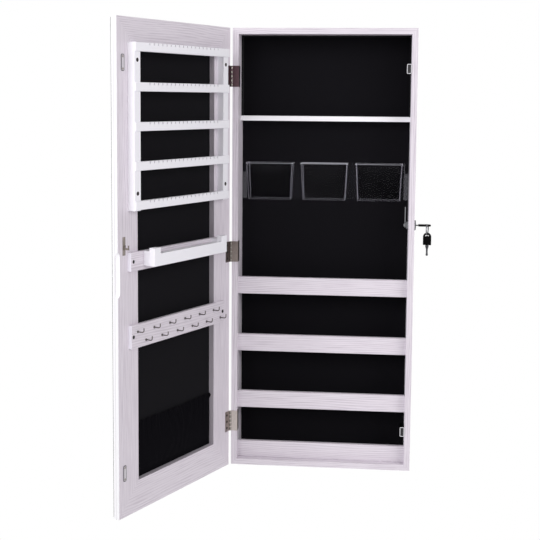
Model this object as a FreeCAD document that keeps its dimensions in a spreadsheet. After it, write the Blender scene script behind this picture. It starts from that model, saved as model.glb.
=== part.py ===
import FreeCAD, Part
import math
import os
import re
import Sketcher

# Wall-hung jewelry cabinet with a mirror door, millimetres.
# X runs across the cabinet, Y runs back into the wall (the wall is Y = 0), Z is up.
# Origin: on the wall plane, midway between the two keyhole hangers.
# In the cabinet frame and in the door frame, heights are counted from the bottom edge.
# The door frame is counted from the hinge pin with the door closed, then turned open.

doc = FreeCAD.newDocument("JewelryCabinet")
sheet = doc.addObject("Spreadsheet::Sheet", "Sizes")

sizes = {
    # carcass
    "cabinetWidth": 370,
    "cabinetHeight": 900,
    "cabinetDepth": 80,
    "boardThick": 12,
    "rabbetWidth": 5,
    "backThick": 3,
    "liningThick": 2.5,
    # wall hangers
    "hangerDrop": 32,
    "hangerSpacing": 240,
    "hangerWidth": 40,
    "hangerTall": 38,
    "hangerThick": 1.5,
    "hangerInset": 0.5,
    "hangerRound": 3,
    "keyholeRadius": 4.5,
    "keyholeSlot": 2.5,
    "keyholeRise": 9,
    "hangerScrewApart": 24,
    "windowWidth": 16,
    "windowTall": 30,
    # upper shelf and its black lining
    "shelfTop": 724,
    "shelfThick": 10,
    "shelfSetback": 47,
    "cheekThick": 2,
    # lower shelves
    "floorBase": 118.5,
    "floorPitch": 120,
    "floorThick": 8,
    "railTall": 35,
    "railThick": 9,
    "railSetback": 14,
    "bottomRailTall": 34,
    "bottomRailSetback": 17,
    "railRound": 1.2,
    # clear bins
    "binPitch": 112,
    "binBase": 552,
    "binTall": 76,
    "binTopWidth": 97,
    "binBottomWidth": 88,
    "binTopDeep": 44,
    "binBottomDeep": 36,
    "binWall": 1.8,
    "binPlateThick": 2,
    "binPlatePlay": 1,
    "binTabWidth": 7,
    "binTabDrop": 21,
    # door
    "doorAngle": 114.5,
    "doorGap": 3,
    "doorWidth": 368,
    "frameWidth": 58,
    "frameThick": 12,
    "panelThick": 1,
    "mirrorThick": 3,
    "mirrorInset": 2,
    "mirrorEdge": 0.8,
    "pinOut": 2,
    "doorInset": 1,
    "gripBase": 405,
    "gripLong": 82,
    "gripRadius": 6,
    "gripRunout": 12,
    # hinges
    "hingeLow": 93,
    "hingeMiddle": 447.5,
    "hingeTopInset": 96.5,
    "hingeTall": 42,
    "leafThick": 1.2,
    "leafInward": 17,
    "leafOnDoor": 14,
    "knuckleRadius": 2.4,
    "pinRadius": 1.2,
    "pinPlay": 0.05,
    "knuckleGap": 0.3,
    "leafRelief": 0.4,
    # screws
    "screwHead": 2.6,
    "screwHeadTall": 1.6,
    "screwShank": 1.2,
    "screwLong": 9,
    "rackScrewHead": 3.4,
    "rackScrewHeadTall": 2,
    "rackScrewShank": 1.6,
    "rackScrewLong": 16,
    "rackScrewSeat": 7,
    "rackScrewPlay": 0.3,
    # magnetic catches
    "catchLow": 82,
    "catchTopInset": 80,
    "catchTall": 23.5,
    "catchWide": 11,
    "catchDeep": 30,
    "catchFoot": 4,
    "catchFootLong": 12,
    "catchPlay": 0.3,
    "magnetTall": 17,
    "magnetWide": 5,
    "magnetDeep": 14,
    "magnetSunk": 0.5,
    "strikeTall": 30,
    "strikeWide": 9,
    "strikeThick": 1,
    # lock
    "lockHeight": 504,
    "lockSetback": 40,
    "lockRadius": 8,
    "rosetteRadius": 10.5,
    "rosetteThick": 3.4,
    "lockInward": 5,
    "nutRadius": 10.5,
    "nutThick": 3.5,
    "plugRadius": 6,
    "plugPlay": 0.05,
    "plugStep": 0.4,
    "tangSide": 6,
    "camGap": 0.3,
    "camThick": 2,
    "camHub": 7,
    "camLong": 38,
    "camWidth": 8,
    "noseLong": 5,
    "noseWidth": 3.5,
    "camScrewHead": 4,
    "camScrewHeadTall": 2,
    "camScrewShank": 1.8,
    # lock strike on the door
    "tabReach": 11.5,
    "tabThick": 1.6,
    "tabTop": 498.5,
    "tabTall": 8.5,
    "tabFinger": 2,
    "tabNotch": 6,
    "tabNotchDeep": 4.5,
    "lockStrikeBase": 480,
    "lockStrikeTall": 33,
    "lockStrikeWide": 7,
    # keys
    "bladeLong": 17,
    "bladeWidth": 7,
    "bladeThick": 2,
    "bladePlay": 0.1,
    "collarLong": 5.1,
    "bowLong": 25.5,
    "bowWidth": 17,
    "bowThick": 3.6,
    "bowRound": 1.2,
    "eyeRim": 4,
    "eyeLong": 7,
    "eyeWidth": 9,
    "eyeRound": 2,
    "nickRadius": 1.2,
    "nickPitch": 3,
    "nickCount": 4,
    "ringRadius": 11,
    "ringWire": 0.7,
    "ringPlay": 0.3,
    "ringTurn": 14,
    # earring rack
    "rackBase": 558.5,
    "rackFoot": 1.5,
    "rackInset": 31,
    "rackStileWidth": 17,
    "rackStileThick": 15,
    "barProud": 3,
    "barThick": 8,
    "barTall": 16,
    "barPitch": 70,
    "notchPitch": 13.1,
    "notchWidth": 2.4,
    "notchDeep": 4.5,
    "rackScrewInset": 31,
    # bracelet holder
    "baseHeight": 450,
    "baseTall": 34,
    "baseInset": 28,
    "baseThick": 8,
    "braceletInset": 64,
    "braceletRise": 7,
    "braceletTall": 33,
    "braceletThick": 12,
    "braceletReach": 34,
    "braceletEnd": 18,
    "braceletDip": 11,
    "armWide": 14,
    "armInset": 2,
    # hook board and hooks
    "hookBoardBase": 308.6,
    "hookBoardTall": 43,
    "hookBoardInset": 30,
    "hookBoardThick": 7,
    "hookPitch": 50,
    "hookFirstHigh": 70,
    "hookFirstLow": 45,
    "hookHigh": 338,
    "hookLow": 319,
    "hookWire": 1,
    "hookReach": 14,
    "hookRise": 8,
    "hookBend": 4,
    "hookRoot": 5,
    "hookFlange": 2.4,
    "hookFlangeThick": 0.8,
    # pouch
    "pouchBase": 58.5,
    "pouchTall": 107,
    "pouchDeep": 13,
    "pouchWall": 2,
    "pouchRound": 5,
}

FLOORS = 3
BINS = 3
BARS = 5
NOTCHES = 18
HOOKS_PER_ROW = 6

for row, (alias, amount) in enumerate(sizes.items(), start=1):
    sheet.set(f"A{row}", alias)
    sheet.set(f"B{row}", str(amount))
    sheet.setAlias(f"B{row}", alias)
doc.recompute()

nodes = []
vector = FreeCAD.Vector
UP = vector(0, 0, 1)
TO_X = FreeCAD.Rotation(vector(0, 1, 0), 90)
TO_Y = FreeCAD.Rotation(vector(1, 0, 0), -90)


def full(text):
    """Turn the size names in a text into references to the sheet."""
    return re.sub(r"[A-Za-z]+", lambda m: "Sizes." + m[0] if m[0] in sizes else m[0], str(text))


def value(text):
    """The number that a text of size names stands for."""
    return float(sheet.evalExpression(full(text)))


def bind(thing, **links):
    for name, text in links.items():
        thing.setExpression(name.replace("_", "."), full(text))


# Names for places that several pieces share.
INNER = "(cabinetWidth / 2 - boardThick)"
FRONT = "(-cabinetDepth)"
BACK_FACE = "(-hangerThick - backThick)"
LINING_FACE = "(-hangerThick - backThick - liningThick)"
PIN_X = "(-cabinetWidth / 2 - pinOut)"
PIN_Y = "(-cabinetDepth - doorGap / 2)"
LOCK_Y = "(-cabinetDepth + lockSetback)"
DOOR_EDGE = "(pinOut + doorInset)"
DOOR_FACE = "(-doorGap / 2)"
PANEL_FACE = "(-doorGap / 2 - frameThick + panelThick)"
CATCH_FRONT = "(-cabinetDepth - doorGap + strikeThick + catchPlay)"
LOCK_END = "(cabinetWidth / 2 - boardThick - lockInward)"
CAM_FACE = f"({LOCK_END} - camGap)"
ROSETTE_FACE = "(cabinetWidth / 2 + rosetteThick)"
HANGER_LINE = "(cabinetHeight - hangerDrop)"
HINGES = {"low": "hingeLow", "middle": "hingeMiddle", "high": "(cabinetHeight - hingeTopInset)"}
CATCHES = {"lower": "catchLow", "upper": "(cabinetHeight - catchTopInset)"}
RACK_TALL = f"(barTall + {BARS - 1} * barPitch + rackFoot)"


def placeInFrame(thing, frame):
    if frame == "door":
        thing.Placement = FreeCAD.Placement(vector(), FreeCAD.Rotation(vector(0, 0, -1), 90))
        bind(thing, Placement_Rotation_Angle="doorAngle")
        bind(thing, Placement_Base_x=PIN_X, Placement_Base_y=PIN_Y)
    bind(thing, Placement_Base_z=f"-{HANGER_LINE}")


def framePlacement(frame):
    if frame == "door":
        turn = FreeCAD.Rotation(vector(0, 0, -1), value("doorAngle"))
        return FreeCAD.Placement(vector(value(PIN_X), value(PIN_Y), value(f"-{HANGER_LINE}")), turn)
    return FreeCAD.Placement(vector(0, 0, value(f"-{HANGER_LINE}")), FreeCAD.Rotation())


def makeBody(label, frame="cabinet", node=True):
    body = doc.addObject("PartDesign::Body", label)
    body.Label = label
    placeInFrame(body, frame)
    if node:
        nodes.append(body)
    return body


def primitive(body, kind, name, corner, turn, links):
    feature = body.newObject("PartDesign::" + kind, name)
    feature.Placement = FreeCAD.Placement(vector(), turn)
    bind(feature, Placement_Base_x=corner[0], Placement_Base_y=corner[1], Placement_Base_z=corner[2])
    bind(feature, **links)
    return feature


def addBox(body, name, corner, size, kind="AdditiveBox"):
    links = dict(zip(("Length", "Width", "Height"), size))
    return primitive(body, kind, name, corner, FreeCAD.Rotation(), links)


def cutBox(body, name, corner, size):
    return addBox(body, name, corner, size, "SubtractiveBox")


def addCylinder(body, name, start, turn, radius, length, kind="AdditiveCylinder"):
    return primitive(body, kind, name, start, turn, {"Radius": radius, "Height": length})


def cutCylinder(body, name, start, turn, radius, length):
    return addCylinder(body, name, start, turn, radius, length, "SubtractiveCylinder")


def board(label, corner, size, frame="cabinet"):
    body = makeBody(label, frame)
    addBox(body, label + "_blank", corner, size)
    return body


def originPlane(body, role):
    return [item for item in body.Origin.OriginFeatures if item.Role == role][0]


def outline(body, name, role, points, shift="0"):
    """A closed sketch through the points, each held to the origin by two sizes."""
    sketch = body.newObject("Sketcher::SketchObject", name)
    sketch.AttachmentSupport = [(originPlane(body, role), "")]
    sketch.MapMode = "FlatFace"
    bind(sketch, AttachmentOffset_Base_z=shift)
    places = [vector(value(x), value(y), 0) for x, y in points]
    for i, place in enumerate(places):
        sketch.addGeometry(Part.LineSegment(place, places[(i + 1) % len(places)]), False)
    for i in range(len(points)):
        sketch.addConstraint(Sketcher.Constraint("Coincident", i, 2, (i + 1) % len(points), 1))
    for i, (x, y) in enumerate(points):
        across = sketch.addConstraint(Sketcher.Constraint("DistanceX", -1, 1, i, 1, places[i].x))
        sketch.setExpression(f"Constraints[{across}]", full(x))
        along = sketch.addConstraint(Sketcher.Constraint("DistanceY", -1, 1, i, 1, places[i].y))
        sketch.setExpression(f"Constraints[{along}]", full(y))
    return sketch


def pad(body, name, sketch, length):
    feature = body.newObject("PartDesign::Pad", name)
    feature.Profile = sketch
    bind(feature, Length=length)
    sketch.Visibility = False
    return feature


def plate(body, name, role, points, start, length):
    """Pad an outline: XZ_Plane pads run towards -Y, XY_Plane towards +Z, YZ_Plane towards +X."""
    shift = f"-({start})" if role == "XZ_Plane" else start
    return pad(body, name, outline(body, name + "_outline", role, points, shift), length)


def softenEdges(body, radius, chosen, kind="Fillet"):
    """Round or chamfer the edges of the body's tip for which chosen(edge) is true."""
    doc.recompute()
    tip = body.Tip
    picked = [f"Edge{i}" for i, edge in enumerate(tip.Shape.Edges, start=1) if chosen(edge)]
    feature = body.newObject("PartDesign::" + kind, f"{body.Name}_{kind}")
    feature.Base = (tip, picked)
    bind(feature, **{"Radius" if kind == "Fillet" else "Size": radius})
    return feature


def middle(edge):
    return edge.BoundBox.Center


def drilled(label, body, *tools):
    """The named piece: a blank with its screw holes cut out."""
    nodes.remove(body)
    body.Label = label + "_blank"
    drills = list(tools)
    tool = drills[0]
    if len(drills) > 1:
        tool = doc.addObject("Part::MultiFuse", label + "_drills")
        tool.Shapes = drills
    piece = doc.addObject("Part::Cut", label)
    piece.Label = label
    piece.Base = body
    piece.Tool = tool
    nodes.append(piece)
    return piece


def solidNode(label, shape, frame="cabinet", node=True):
    thing = doc.addObject("Part::Feature", label)
    thing.Label = label
    thing.Shape = shape
    thing.Placement = framePlacement(frame).multiply(shape.Placement)
    if node:
        nodes.append(thing)
    return thing


# ---- screws ----

def screwShape(head, headTall, shank, long, recess):
    """A countersunk screw pointing down, its head flush with z = 0."""
    cone = Part.makeCone(shank, head, headTall, vector(0, 0, -headTall))
    screw = cone.fuse(Part.makeCylinder(shank, long - headTall, vector(0, 0, -long))).removeSplitter()
    if recess:
        for across, along in ((head * 1.1, head * 0.22), (head * 0.22, head * 1.1)):
            slot = Part.makeBox(across, along, headTall * 0.4)
            slot.translate(vector(-across / 2, -along / 2, -headTall * 0.4))
            screw = screw.cut(slot)
    return screw


def screwGroup(label, places, sizeNames, frame="cabinet", sinkRadius=0):
    """The screws as one node, and their plain shapes as a drill for what they hold."""
    head, headTall, shank, long = [value(name) for name in sizeNames]
    screws, drills = [], []
    for place, inward in places:
        turn = FreeCAD.Rotation(vector(0, 0, -1), inward)
        spot = FreeCAD.Placement(vector(*[value(text) for text in place]), turn)
        screw = screwShape(head, headTall, shank, long, True)
        drill = screwShape(head, headTall, shank, long, False)
        if sinkRadius:
            drill = drill.fuse(Part.makeCylinder(sinkRadius, long)).removeSplitter()
        screw.Placement = spot
        drill.Placement = spot
        screws.append(screw)
        drills.append(drill)
    solidNode(label, Part.makeCompound(screws), frame)
    return solidNode(label + "_drill", Part.makeCompound(drills), frame, node=False)


SMALL_SCREW = ("screwHead", "screwHeadTall", "screwShank", "screwLong")
RACK_SCREW = ("rackScrewHead", "rackScrewHeadTall", "rackScrewShank", "rackScrewLong")
LEAF_SCREW_X = f"(-{INNER} + leafThick)"
cabinetScrewPlaces = []
for height in HINGES.values():
    for side in ("-", "+"):
        spot = (LEAF_SCREW_X, f"{FRONT} + leafInward * 0.6", f"{height} {side} hingeTall * 0.32")
        cabinetScrewPlaces.append((spot, vector(-1, 0, 0)))
for height in CATCHES.values():
    spot = (f"{INNER} - catchFoot", f"{CATCH_FRONT} + catchDeep - catchFootLong / 2", height)
    cabinetScrewPlaces.append((spot, vector(1, 0, 0)))
for side in ("-", "+"):
    for end in ("-", "+"):
        across = f"{side}hangerSpacing / 2 {end} hangerScrewApart / 2"
        spot = (across, "0", "cabinetHeight - (boardThick - rabbetWidth) / 2")
        cabinetScrewPlaces.append((spot, vector(0, -1, 0)))
cabinetDrill = screwGroup("cabinet_screws", cabinetScrewPlaces, SMALL_SCREW)

doorScrewPlaces = []
for height in HINGES.values():
    for side in ("-", "+"):
        spot = (f"{DOOR_EDGE} + leafOnDoor * 0.6", f"{DOOR_FACE} + leafThick",
                f"{height} {side} hingeTall * 0.32")
        doorScrewPlaces.append((spot, vector(0, -1, 0)))
STRIKE_X = f"({INNER} - {PIN_X} - catchWide / 2 - strikeWide / 2)"
for height in CATCHES.values():
    for side in ("-", "+"):
        spot = (f"{STRIKE_X} + strikeWide / 2", f"{DOOR_FACE} + strikeThick",
                f"{height} {side} strikeTall * 0.36")
        doorScrewPlaces.append((spot, vector(0, -1, 0)))
TAB_X = f"({CAM_FACE} - camThick / 2 - tabThick / 2 - {PIN_X})"
for height in ("lockStrikeBase + 4", "lockStrikeBase + lockStrikeTall - 4"):
    spot = (f"{TAB_X} + tabThick / 2", f"{DOOR_FACE} + strikeThick", height)
    doorScrewPlaces.append((spot, vector(0, -1, 0)))
doorDrill = screwGroup("door_screws", doorScrewPlaces, SMALL_SCREW, "door")

RACK_LEFT = f"({DOOR_EDGE} + rackInset)"
RACK_RIGHT = f"({DOOR_EDGE} + doorWidth - rackInset - rackStileWidth)"
RACK_SEAT = f"({DOOR_FACE} + rackScrewSeat)"
rackScrewPlaces = []
for left in (RACK_LEFT, RACK_RIGHT):
    for height in ("rackBase + rackScrewInset", f"rackBase + {RACK_TALL} - rackScrewInset"):
        spot = (f"{left} + rackStileWidth / 2", RACK_SEAT, height)
        rackScrewPlaces.append((spot, vector(0, -1, 0)))
for inset in ("baseInset + 8", "doorWidth - baseInset - 8"):
    spot = (f"{DOOR_EDGE} + {inset}", RACK_SEAT, "baseHeight + baseTall / 2")
    rackScrewPlaces.append((spot, vector(0, -1, 0)))
for inset in ("hookBoardInset + 6", "doorWidth - hookBoardInset - 6"):
    spot = (f"{DOOR_EDGE} + {inset}", RACK_SEAT, "hookBoardBase + hookBoardTall / 2")
    rackScrewPlaces.append((spot, vector(0, -1, 0)))
rackSink = value("rackScrewHead + rackScrewPlay")
rackDrill = screwGroup("rack_screws", rackScrewPlaces, RACK_SCREW, "door", rackSink)


# ---- carcass ----

def carcassBoard(label, outer, inner):
    """A mitred board: outer and inner are the two long edges, as ((x, z), (x, z)) pairs."""
    body = makeBody(label)
    points = [outer[0], inner[0], inner[1], outer[1]]
    plate(body, label + "_blank", "XZ_Plane", points, "0", "cabinetDepth")
    left = f"-{INNER} - rabbetWidth"
    rabbet = "(hangerThick + backThick)"
    cutBox(body, label + "_rabbet", (left, f"-{rabbet}", "boardThick - rabbetWidth"),
           (f"2 * ({INNER} + rabbetWidth)", rabbet, "cabinetHeight - 2 * (boardThick - rabbetWidth)"))
    return body


HALF = "cabinetWidth / 2"
HIGH = "cabinetHeight"
HIGH_IN = "(cabinetHeight - boardThick)"
corners = {
    "side_left": (((f"-{HALF}", "0"), (f"-{HALF}", HIGH)),
                  ((f"-{INNER}", "boardThick"), (f"-{INNER}", HIGH_IN))),
    "side_right": (((HALF, "0"), (HALF, HIGH)), ((INNER, "boardThick"), (INNER, HIGH_IN))),
    "bottom_board": (((f"-{HALF}", "0"), (HALF, "0")),
                     ((f"-{INNER}", "boardThick"), (INNER, "boardThick"))),
    "top_board": (((f"-{HALF}", HIGH), (HALF, HIGH)), ((f"-{INNER}", HIGH_IN), (INNER, HIGH_IN))),
}
carcass = {label: carcassBoard(label, *edges) for label, edges in corners.items()}
cutCylinder(carcass["side_right"], "lock_hole", (INNER, LOCK_Y, "lockHeight"), TO_X,
            "lockRadius", "boardThick")
for side in ("-", "+"):
    cutBox(carcass["top_board"], "hanger_recess_" + ("left" if side == "-" else "right"),
           (f"{side}hangerSpacing / 2 - hangerWidth / 2", "-hangerThick", "cabinetHeight - boardThick"),
           ("hangerWidth", "hangerThick", "boardThick"))
drilled("side_left", carcass["side_left"], cabinetDrill)
drilled("side_right", carcass["side_right"], cabinetDrill)
drilled("top_board", carcass["top_board"], cabinetDrill)

BACK_HALF = f"({INNER} + rabbetWidth)"
back = board("back_panel", (f"-{BACK_HALF}", BACK_FACE, "boardThick - rabbetWidth"),
             (f"2 * {BACK_HALF}", "backThick", "cabinetHeight - 2 * (boardThick - rabbetWidth)"))
for side in ("-", "+"):
    cutBox(back, "window_" + ("left" if side == "-" else "right"),
           (f"{side}hangerSpacing / 2 - windowWidth / 2", BACK_FACE,
            f"{HANGER_LINE} + keyholeRise / 2 - windowTall / 2"),
           ("windowWidth", "backThick", "windowTall"))
board("back_lining", (f"-{INNER}", LINING_FACE, "boardThick"),
      (f"2 * {INNER}", "liningThick", "cabinetHeight - 2 * boardThick"))


def hangerShape(centre):
    """A steel strip with a keyhole: a round entry and a narrow seat above it."""
    wide, tall, thick = value("hangerWidth"), value("hangerTall"), value("hangerThick")
    top = value("cabinetHeight - hangerInset")
    strip = Part.makeBox(wide, thick, tall, vector(centre - wide / 2, -thick, top - tall))
    upright = [e for e in strip.Edges if abs(e.tangentAt(e.FirstParameter).y) > 0.9]
    strip = strip.makeFillet(value("hangerRound"), upright)
    entry, slot, rise = value("keyholeRadius"), value("keyholeSlot"), value("keyholeRise")
    low = value(HANGER_LINE)
    back = vector(0, 1, 0)
    holes = Part.makeCylinder(entry, thick, vector(centre, -thick, low), back)
    holes = holes.fuse(Part.makeCylinder(slot, thick, vector(centre, -thick, low + rise), back))
    holes = holes.fuse(Part.makeBox(2 * slot, thick, rise, vector(centre - slot, -thick, low)))
    return strip.cut(holes)


half = value("hangerSpacing / 2")
hangerBlank = solidNode("wall_hangers_plain", Part.makeCompound([hangerShape(-half), hangerShape(half)]))
drilled("wall_hangers", hangerBlank, cabinetDrill)


# ---- shelves ----

board("upper_shelf", (f"-{INNER}", f"{FRONT} + shelfSetback", "shelfTop - shelfThick"),
      (f"2 * {INNER}", f"{LINING_FACE} - {FRONT} - shelfSetback", "shelfThick"))
upper = makeBody("upper_lining")
addBox(upper, "upper_block", (f"-{INNER}", f"{FRONT} + shelfSetback + 1", "shelfTop"),
       (f"2 * {INNER}", f"{LINING_FACE} - {FRONT} - shelfSetback - 1", f"{HIGH_IN} - shelfTop"))
cutBox(upper, "upper_space", (f"-{INNER} + cheekThick", f"{FRONT} + shelfSetback + 1", "shelfTop"),
       (f"2 * ({INNER} - cheekThick)", f"{LINING_FACE} - {FRONT} - shelfSetback - 1",
        f"{HIGH_IN} - shelfTop - cheekThick"))


def rail(label, setback, base, tall):
    """A retaining rail across the front of a shelf, its long front edges softened."""
    body = board(label, (f"-{INNER}", f"{FRONT} + {setback}", base), (f"2 * {INNER}", "railThick", tall))
    face = value(f"{FRONT} + {setback}")
    softenEdges(body, "railRound", lambda edge: edge.BoundBox.XLength > 50 and middle(edge).y < face + 1)


for number in range(FLOORS):
    base = f"floorBase + {number} * floorPitch"
    board(f"shelf_floor_{number + 1}", (f"-{INNER}", f"{FRONT} + railSetback + railThick", base),
          (f"2 * {INNER}", f"{LINING_FACE} - {FRONT} - railSetback - railThick", "floorThick"))
    rail(f"shelf_rail_{number + 1}", "railSetback", base, "railTall")
rail("bottom_rail", "bottomRailSetback", "boardThick", "bottomRailTall")


# ---- clear bins ----

binPlate = makeBody("bin_plate")
edge = f"({INNER} - binPlatePlay)"
low, high = "binBase", "binBase + binTall"
shoulder = f"({high} - binTabDrop)"
tab = f"({edge} - binTabWidth)"
binPlatePoints = [(f"-{edge}", low), (edge, low), (edge, shoulder), (tab, shoulder),
                  (tab, high), (f"-{tab}", high), (f"-{tab}", shoulder), (f"-{edge}", shoulder)]
plate(binPlate, "bin_plate_blank", "XZ_Plane", binPlatePoints, LINING_FACE, "binPlateThick")


def binShell(centre):
    """A tapered open cup: a loft between the bottom and top rectangles, hollowed from above."""
    back = value(f"{LINING_FACE} - binPlateThick")
    bottom, top = value("binBase"), value("binBase + binTall")
    wall = value("binWall")

    def rectangle(half, deep, z, inset):
        left, right = centre - half + inset, centre + half - inset
        rear, front = back - inset, back - deep + inset
        corners = [vector(x, y, z) for x, y in ((left, rear), (right, rear), (right, front), (left, front))]
        return Part.makePolygon(corners + corners[:1])

    wideHalf, narrowHalf = value("binTopWidth / 2"), value("binBottomWidth / 2")
    wideDeep, narrowDeep = value("binTopDeep"), value("binBottomDeep")
    outer = Part.makeLoft([rectangle(narrowHalf, narrowDeep, bottom, 0),
                           rectangle(wideHalf, wideDeep, top, 0)], True, True)
    inner = Part.makeLoft([rectangle(narrowHalf, narrowDeep, bottom + wall, wall),
                           rectangle(wideHalf, wideDeep, top, wall)], True, True)
    return outer.cut(inner)


for number, name in enumerate(("left", "middle", "right")[:BINS]):
    solidNode(f"bin_{name}", binShell((number - (BINS - 1) / 2) * value("binPitch")))


# ---- magnetic catches ----

catchBodies = []
magnets = []
for name, height in CATCHES.items():
    label = "catch_" + name
    base = f"{height} - catchTall / 2"
    catch = board(label, (f"{INNER} - catchWide", CATCH_FRONT, base), ("catchWide", "catchDeep", "catchTall"))
    wallFace = value(INNER)
    softenEdges(catch, "railRound", lambda edge: edge.BoundBox.YLength > 10 and middle(edge).x < wallFace - 1)
    footFront = f"{CATCH_FRONT} + catchDeep - catchFootLong"
    cutBox(catch, label + "_step", (f"{INNER} - catchWide", footFront, base),
           ("catchWide - catchFoot", "catchFootLong", "catchTall"))
    corner = (f"{INNER} - catchWide / 2 - magnetWide / 2", CATCH_FRONT, f"{height} - magnetTall / 2")
    cutBox(catch, label + "_pocket", corner, ("magnetWide", "magnetDeep", "magnetTall"))
    drilled(label, catch, cabinetDrill)
    size = [value(text) for text in ("magnetWide", "magnetDeep - magnetSunk", "magnetTall")]
    start = vector(value(corner[0]), value(f"{corner[1]} + magnetSunk"), value(corner[2]))
    magnets.append(Part.makeBox(*size, start))
solidNode("catch_magnets", Part.makeCompound(magnets))


# ---- lock ----

lockBody = makeBody("lock_body")
axis = (LOCK_END, LOCK_Y, "lockHeight")
addCylinder(lockBody, "lock_thread", axis, TO_X, "lockRadius", f"{ROSETTE_FACE} - {LOCK_END}")
addCylinder(lockBody, "lock_rosette", (HALF, LOCK_Y, "lockHeight"), TO_X, "rosetteRadius", "rosetteThick")
softenEdges(lockBody, "railRound", lambda e: e.BoundBox.XMin > value(ROSETTE_FACE) - 0.01 and e.Length > 50)
cutCylinder(lockBody, "lock_bore", axis, TO_X, "plugRadius + plugPlay", f"{ROSETTE_FACE} - {LOCK_END}")

nut = makeBody("lock_nut")
nutStart = (f"{INNER} - nutThick", LOCK_Y, "lockHeight")
addCylinder(nut, "nut_blank", nutStart, TO_X, "nutRadius", "nutThick")
cutCylinder(nut, "nut_hole", nutStart, TO_X, "lockRadius", "nutThick")
for side in ("-", "+"):
    far = f"{LOCK_Y} {side} nutRadius"
    cutBox(nut, "nut_flat_" + ("front" if side == "-" else "rear"),
           (f"{INNER} - nutThick", f"{far} - 1", "lockHeight - nutRadius"),
           ("nutThick", "2", "2 * nutRadius"))

plug = makeBody("lock_plug")
plugEnd = f"({LOCK_END} + camGap)"
addCylinder(plug, "plug_barrel", (plugEnd, LOCK_Y, "lockHeight"), TO_X, "plugRadius",
            f"{ROSETTE_FACE} + plugStep - {plugEnd}")
addBox(plug, "plug_tang", (f"{CAM_FACE} - camThick", f"{LOCK_Y} - tangSide / 2", "lockHeight - tangSide / 2"),
       (f"{plugEnd} - {CAM_FACE} + camThick", "tangSide", "tangSide"))
cutBox(plug, "keyway", (f"{ROSETTE_FACE} + plugStep - bladeLong - 2 * bladePlay",
                        f"{LOCK_Y} - bladeWidth / 2 - bladePlay", "lockHeight - bladeThick / 2 - bladePlay"),
       ("bladeLong + 2 * bladePlay", "bladeWidth + 2 * bladePlay", "bladeThick + 2 * bladePlay"))

camScrewShape = Part.makeCylinder(value("camScrewHead"), value("camScrewHeadTall"),
                                  vector(-value("camScrewHeadTall"), 0, 0), vector(1, 0, 0))
camScrewShape = camScrewShape.fuse(Part.makeCylinder(value("camScrewShank"), value("camThick"),
                                                     vector(), vector(1, 0, 0))).removeSplitter()
camScrewShape.translate(vector(value(f"{CAM_FACE} - camThick"), value(LOCK_Y), value("lockHeight")))
camScrew = solidNode("cam_screw", camScrewShape)
drilled("lock_plug", plug, camScrew)

cam = makeBody("lock_cam")
camStart = f"{CAM_FACE} - camThick"
addCylinder(cam, "cam_hub", (camStart, LOCK_Y, "lockHeight"), TO_X, "camHub", "camThick")
addBox(cam, "cam_arm", (camStart, f"{LOCK_Y} - camWidth / 2", "lockHeight"),
       ("camThick", "camWidth", "camLong"))
addBox(cam, "cam_nose", (camStart, f"{LOCK_Y} - camWidth / 2 - noseLong", "lockHeight + camLong - noseWidth"),
       ("camThick", "noseLong + 1", "noseWidth"))
cutBox(cam, "cam_eye", (camStart, f"{LOCK_Y} - tangSide / 2", "lockHeight - tangSide / 2"),
       ("camThick", "tangSide", "tangSide"))


# ---- keys and ring ----
# Both keys are drawn along +X from the blade's tip, flat in the XY plane, then placed.

def keyBlade():
    long, wide, thick = value("bladeLong"), value("bladeWidth"), value("bladeThick")
    blade = Part.makeBox(long, wide, thick, vector(0, -wide / 2, -thick / 2))
    radius, pitch = value("nickRadius"), value("nickPitch")
    for step in range(int(value("nickCount"))):
        spot = vector((step + 0.8) * pitch, (wide + radius) / 2, -thick / 2)
        nick = Part.makeCylinder(radius, thick, spot, UP)
        blade = blade.cut(nick)
    collar = value("collarLong")
    root = Part.makeBox(collar, wide, thick, vector(long, -wide / 2, -thick / 2))
    return blade.fuse(root).removeSplitter()


def keyBow():
    """An arch-topped handle with a rounded eye, all its edges softened."""
    start = value("bladeLong + collarLong")
    long, half, thick = value("bowLong"), value("bowWidth / 2"), value("bowThick")
    straight = start + long - half
    a, b = vector(start, -half, 0), vector(straight, -half, 0)
    c, d = vector(straight, half, 0), vector(start, half, 0)
    arch = Part.Arc(b, vector(start + long, 0, 0), c).toShape()
    face = Part.Face(Part.Wire([Part.makeLine(a, b), arch, Part.makeLine(c, d), Part.makeLine(d, a)]))
    face.translate(vector(0, 0, -thick / 2))
    bow = face.extrude(vector(0, 0, thick))
    eyeEnd = start + long - value("eyeRim")
    eyeHalf, eyeLong = value("eyeWidth / 2"), value("eyeLong")
    eye = Part.makeBox(eyeLong, 2 * eyeHalf, thick, vector(eyeEnd - eyeLong, -eyeHalf, -thick / 2))
    corners = [e for e in eye.Edges if abs(e.tangentAt(e.FirstParameter).z) > 0.9]
    bow = bow.cut(eye.makeFillet(value("eyeRound"), corners))
    rims = [e for e in bow.Edges if abs(abs(middle(e).z) - thick / 2) < 0.01 and e.BoundBox.ZLength < 0.01]
    return bow.makeFillet(value("bowRound"), rims)


bladeShape, bowShape = keyBlade(), keyBow()
keyTip = value(f"{ROSETTE_FACE} + plugStep - bladeLong")
keySpot = FreeCAD.Placement(vector(keyTip, value(LOCK_Y), value("lockHeight")), FreeCAD.Rotation())
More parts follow.
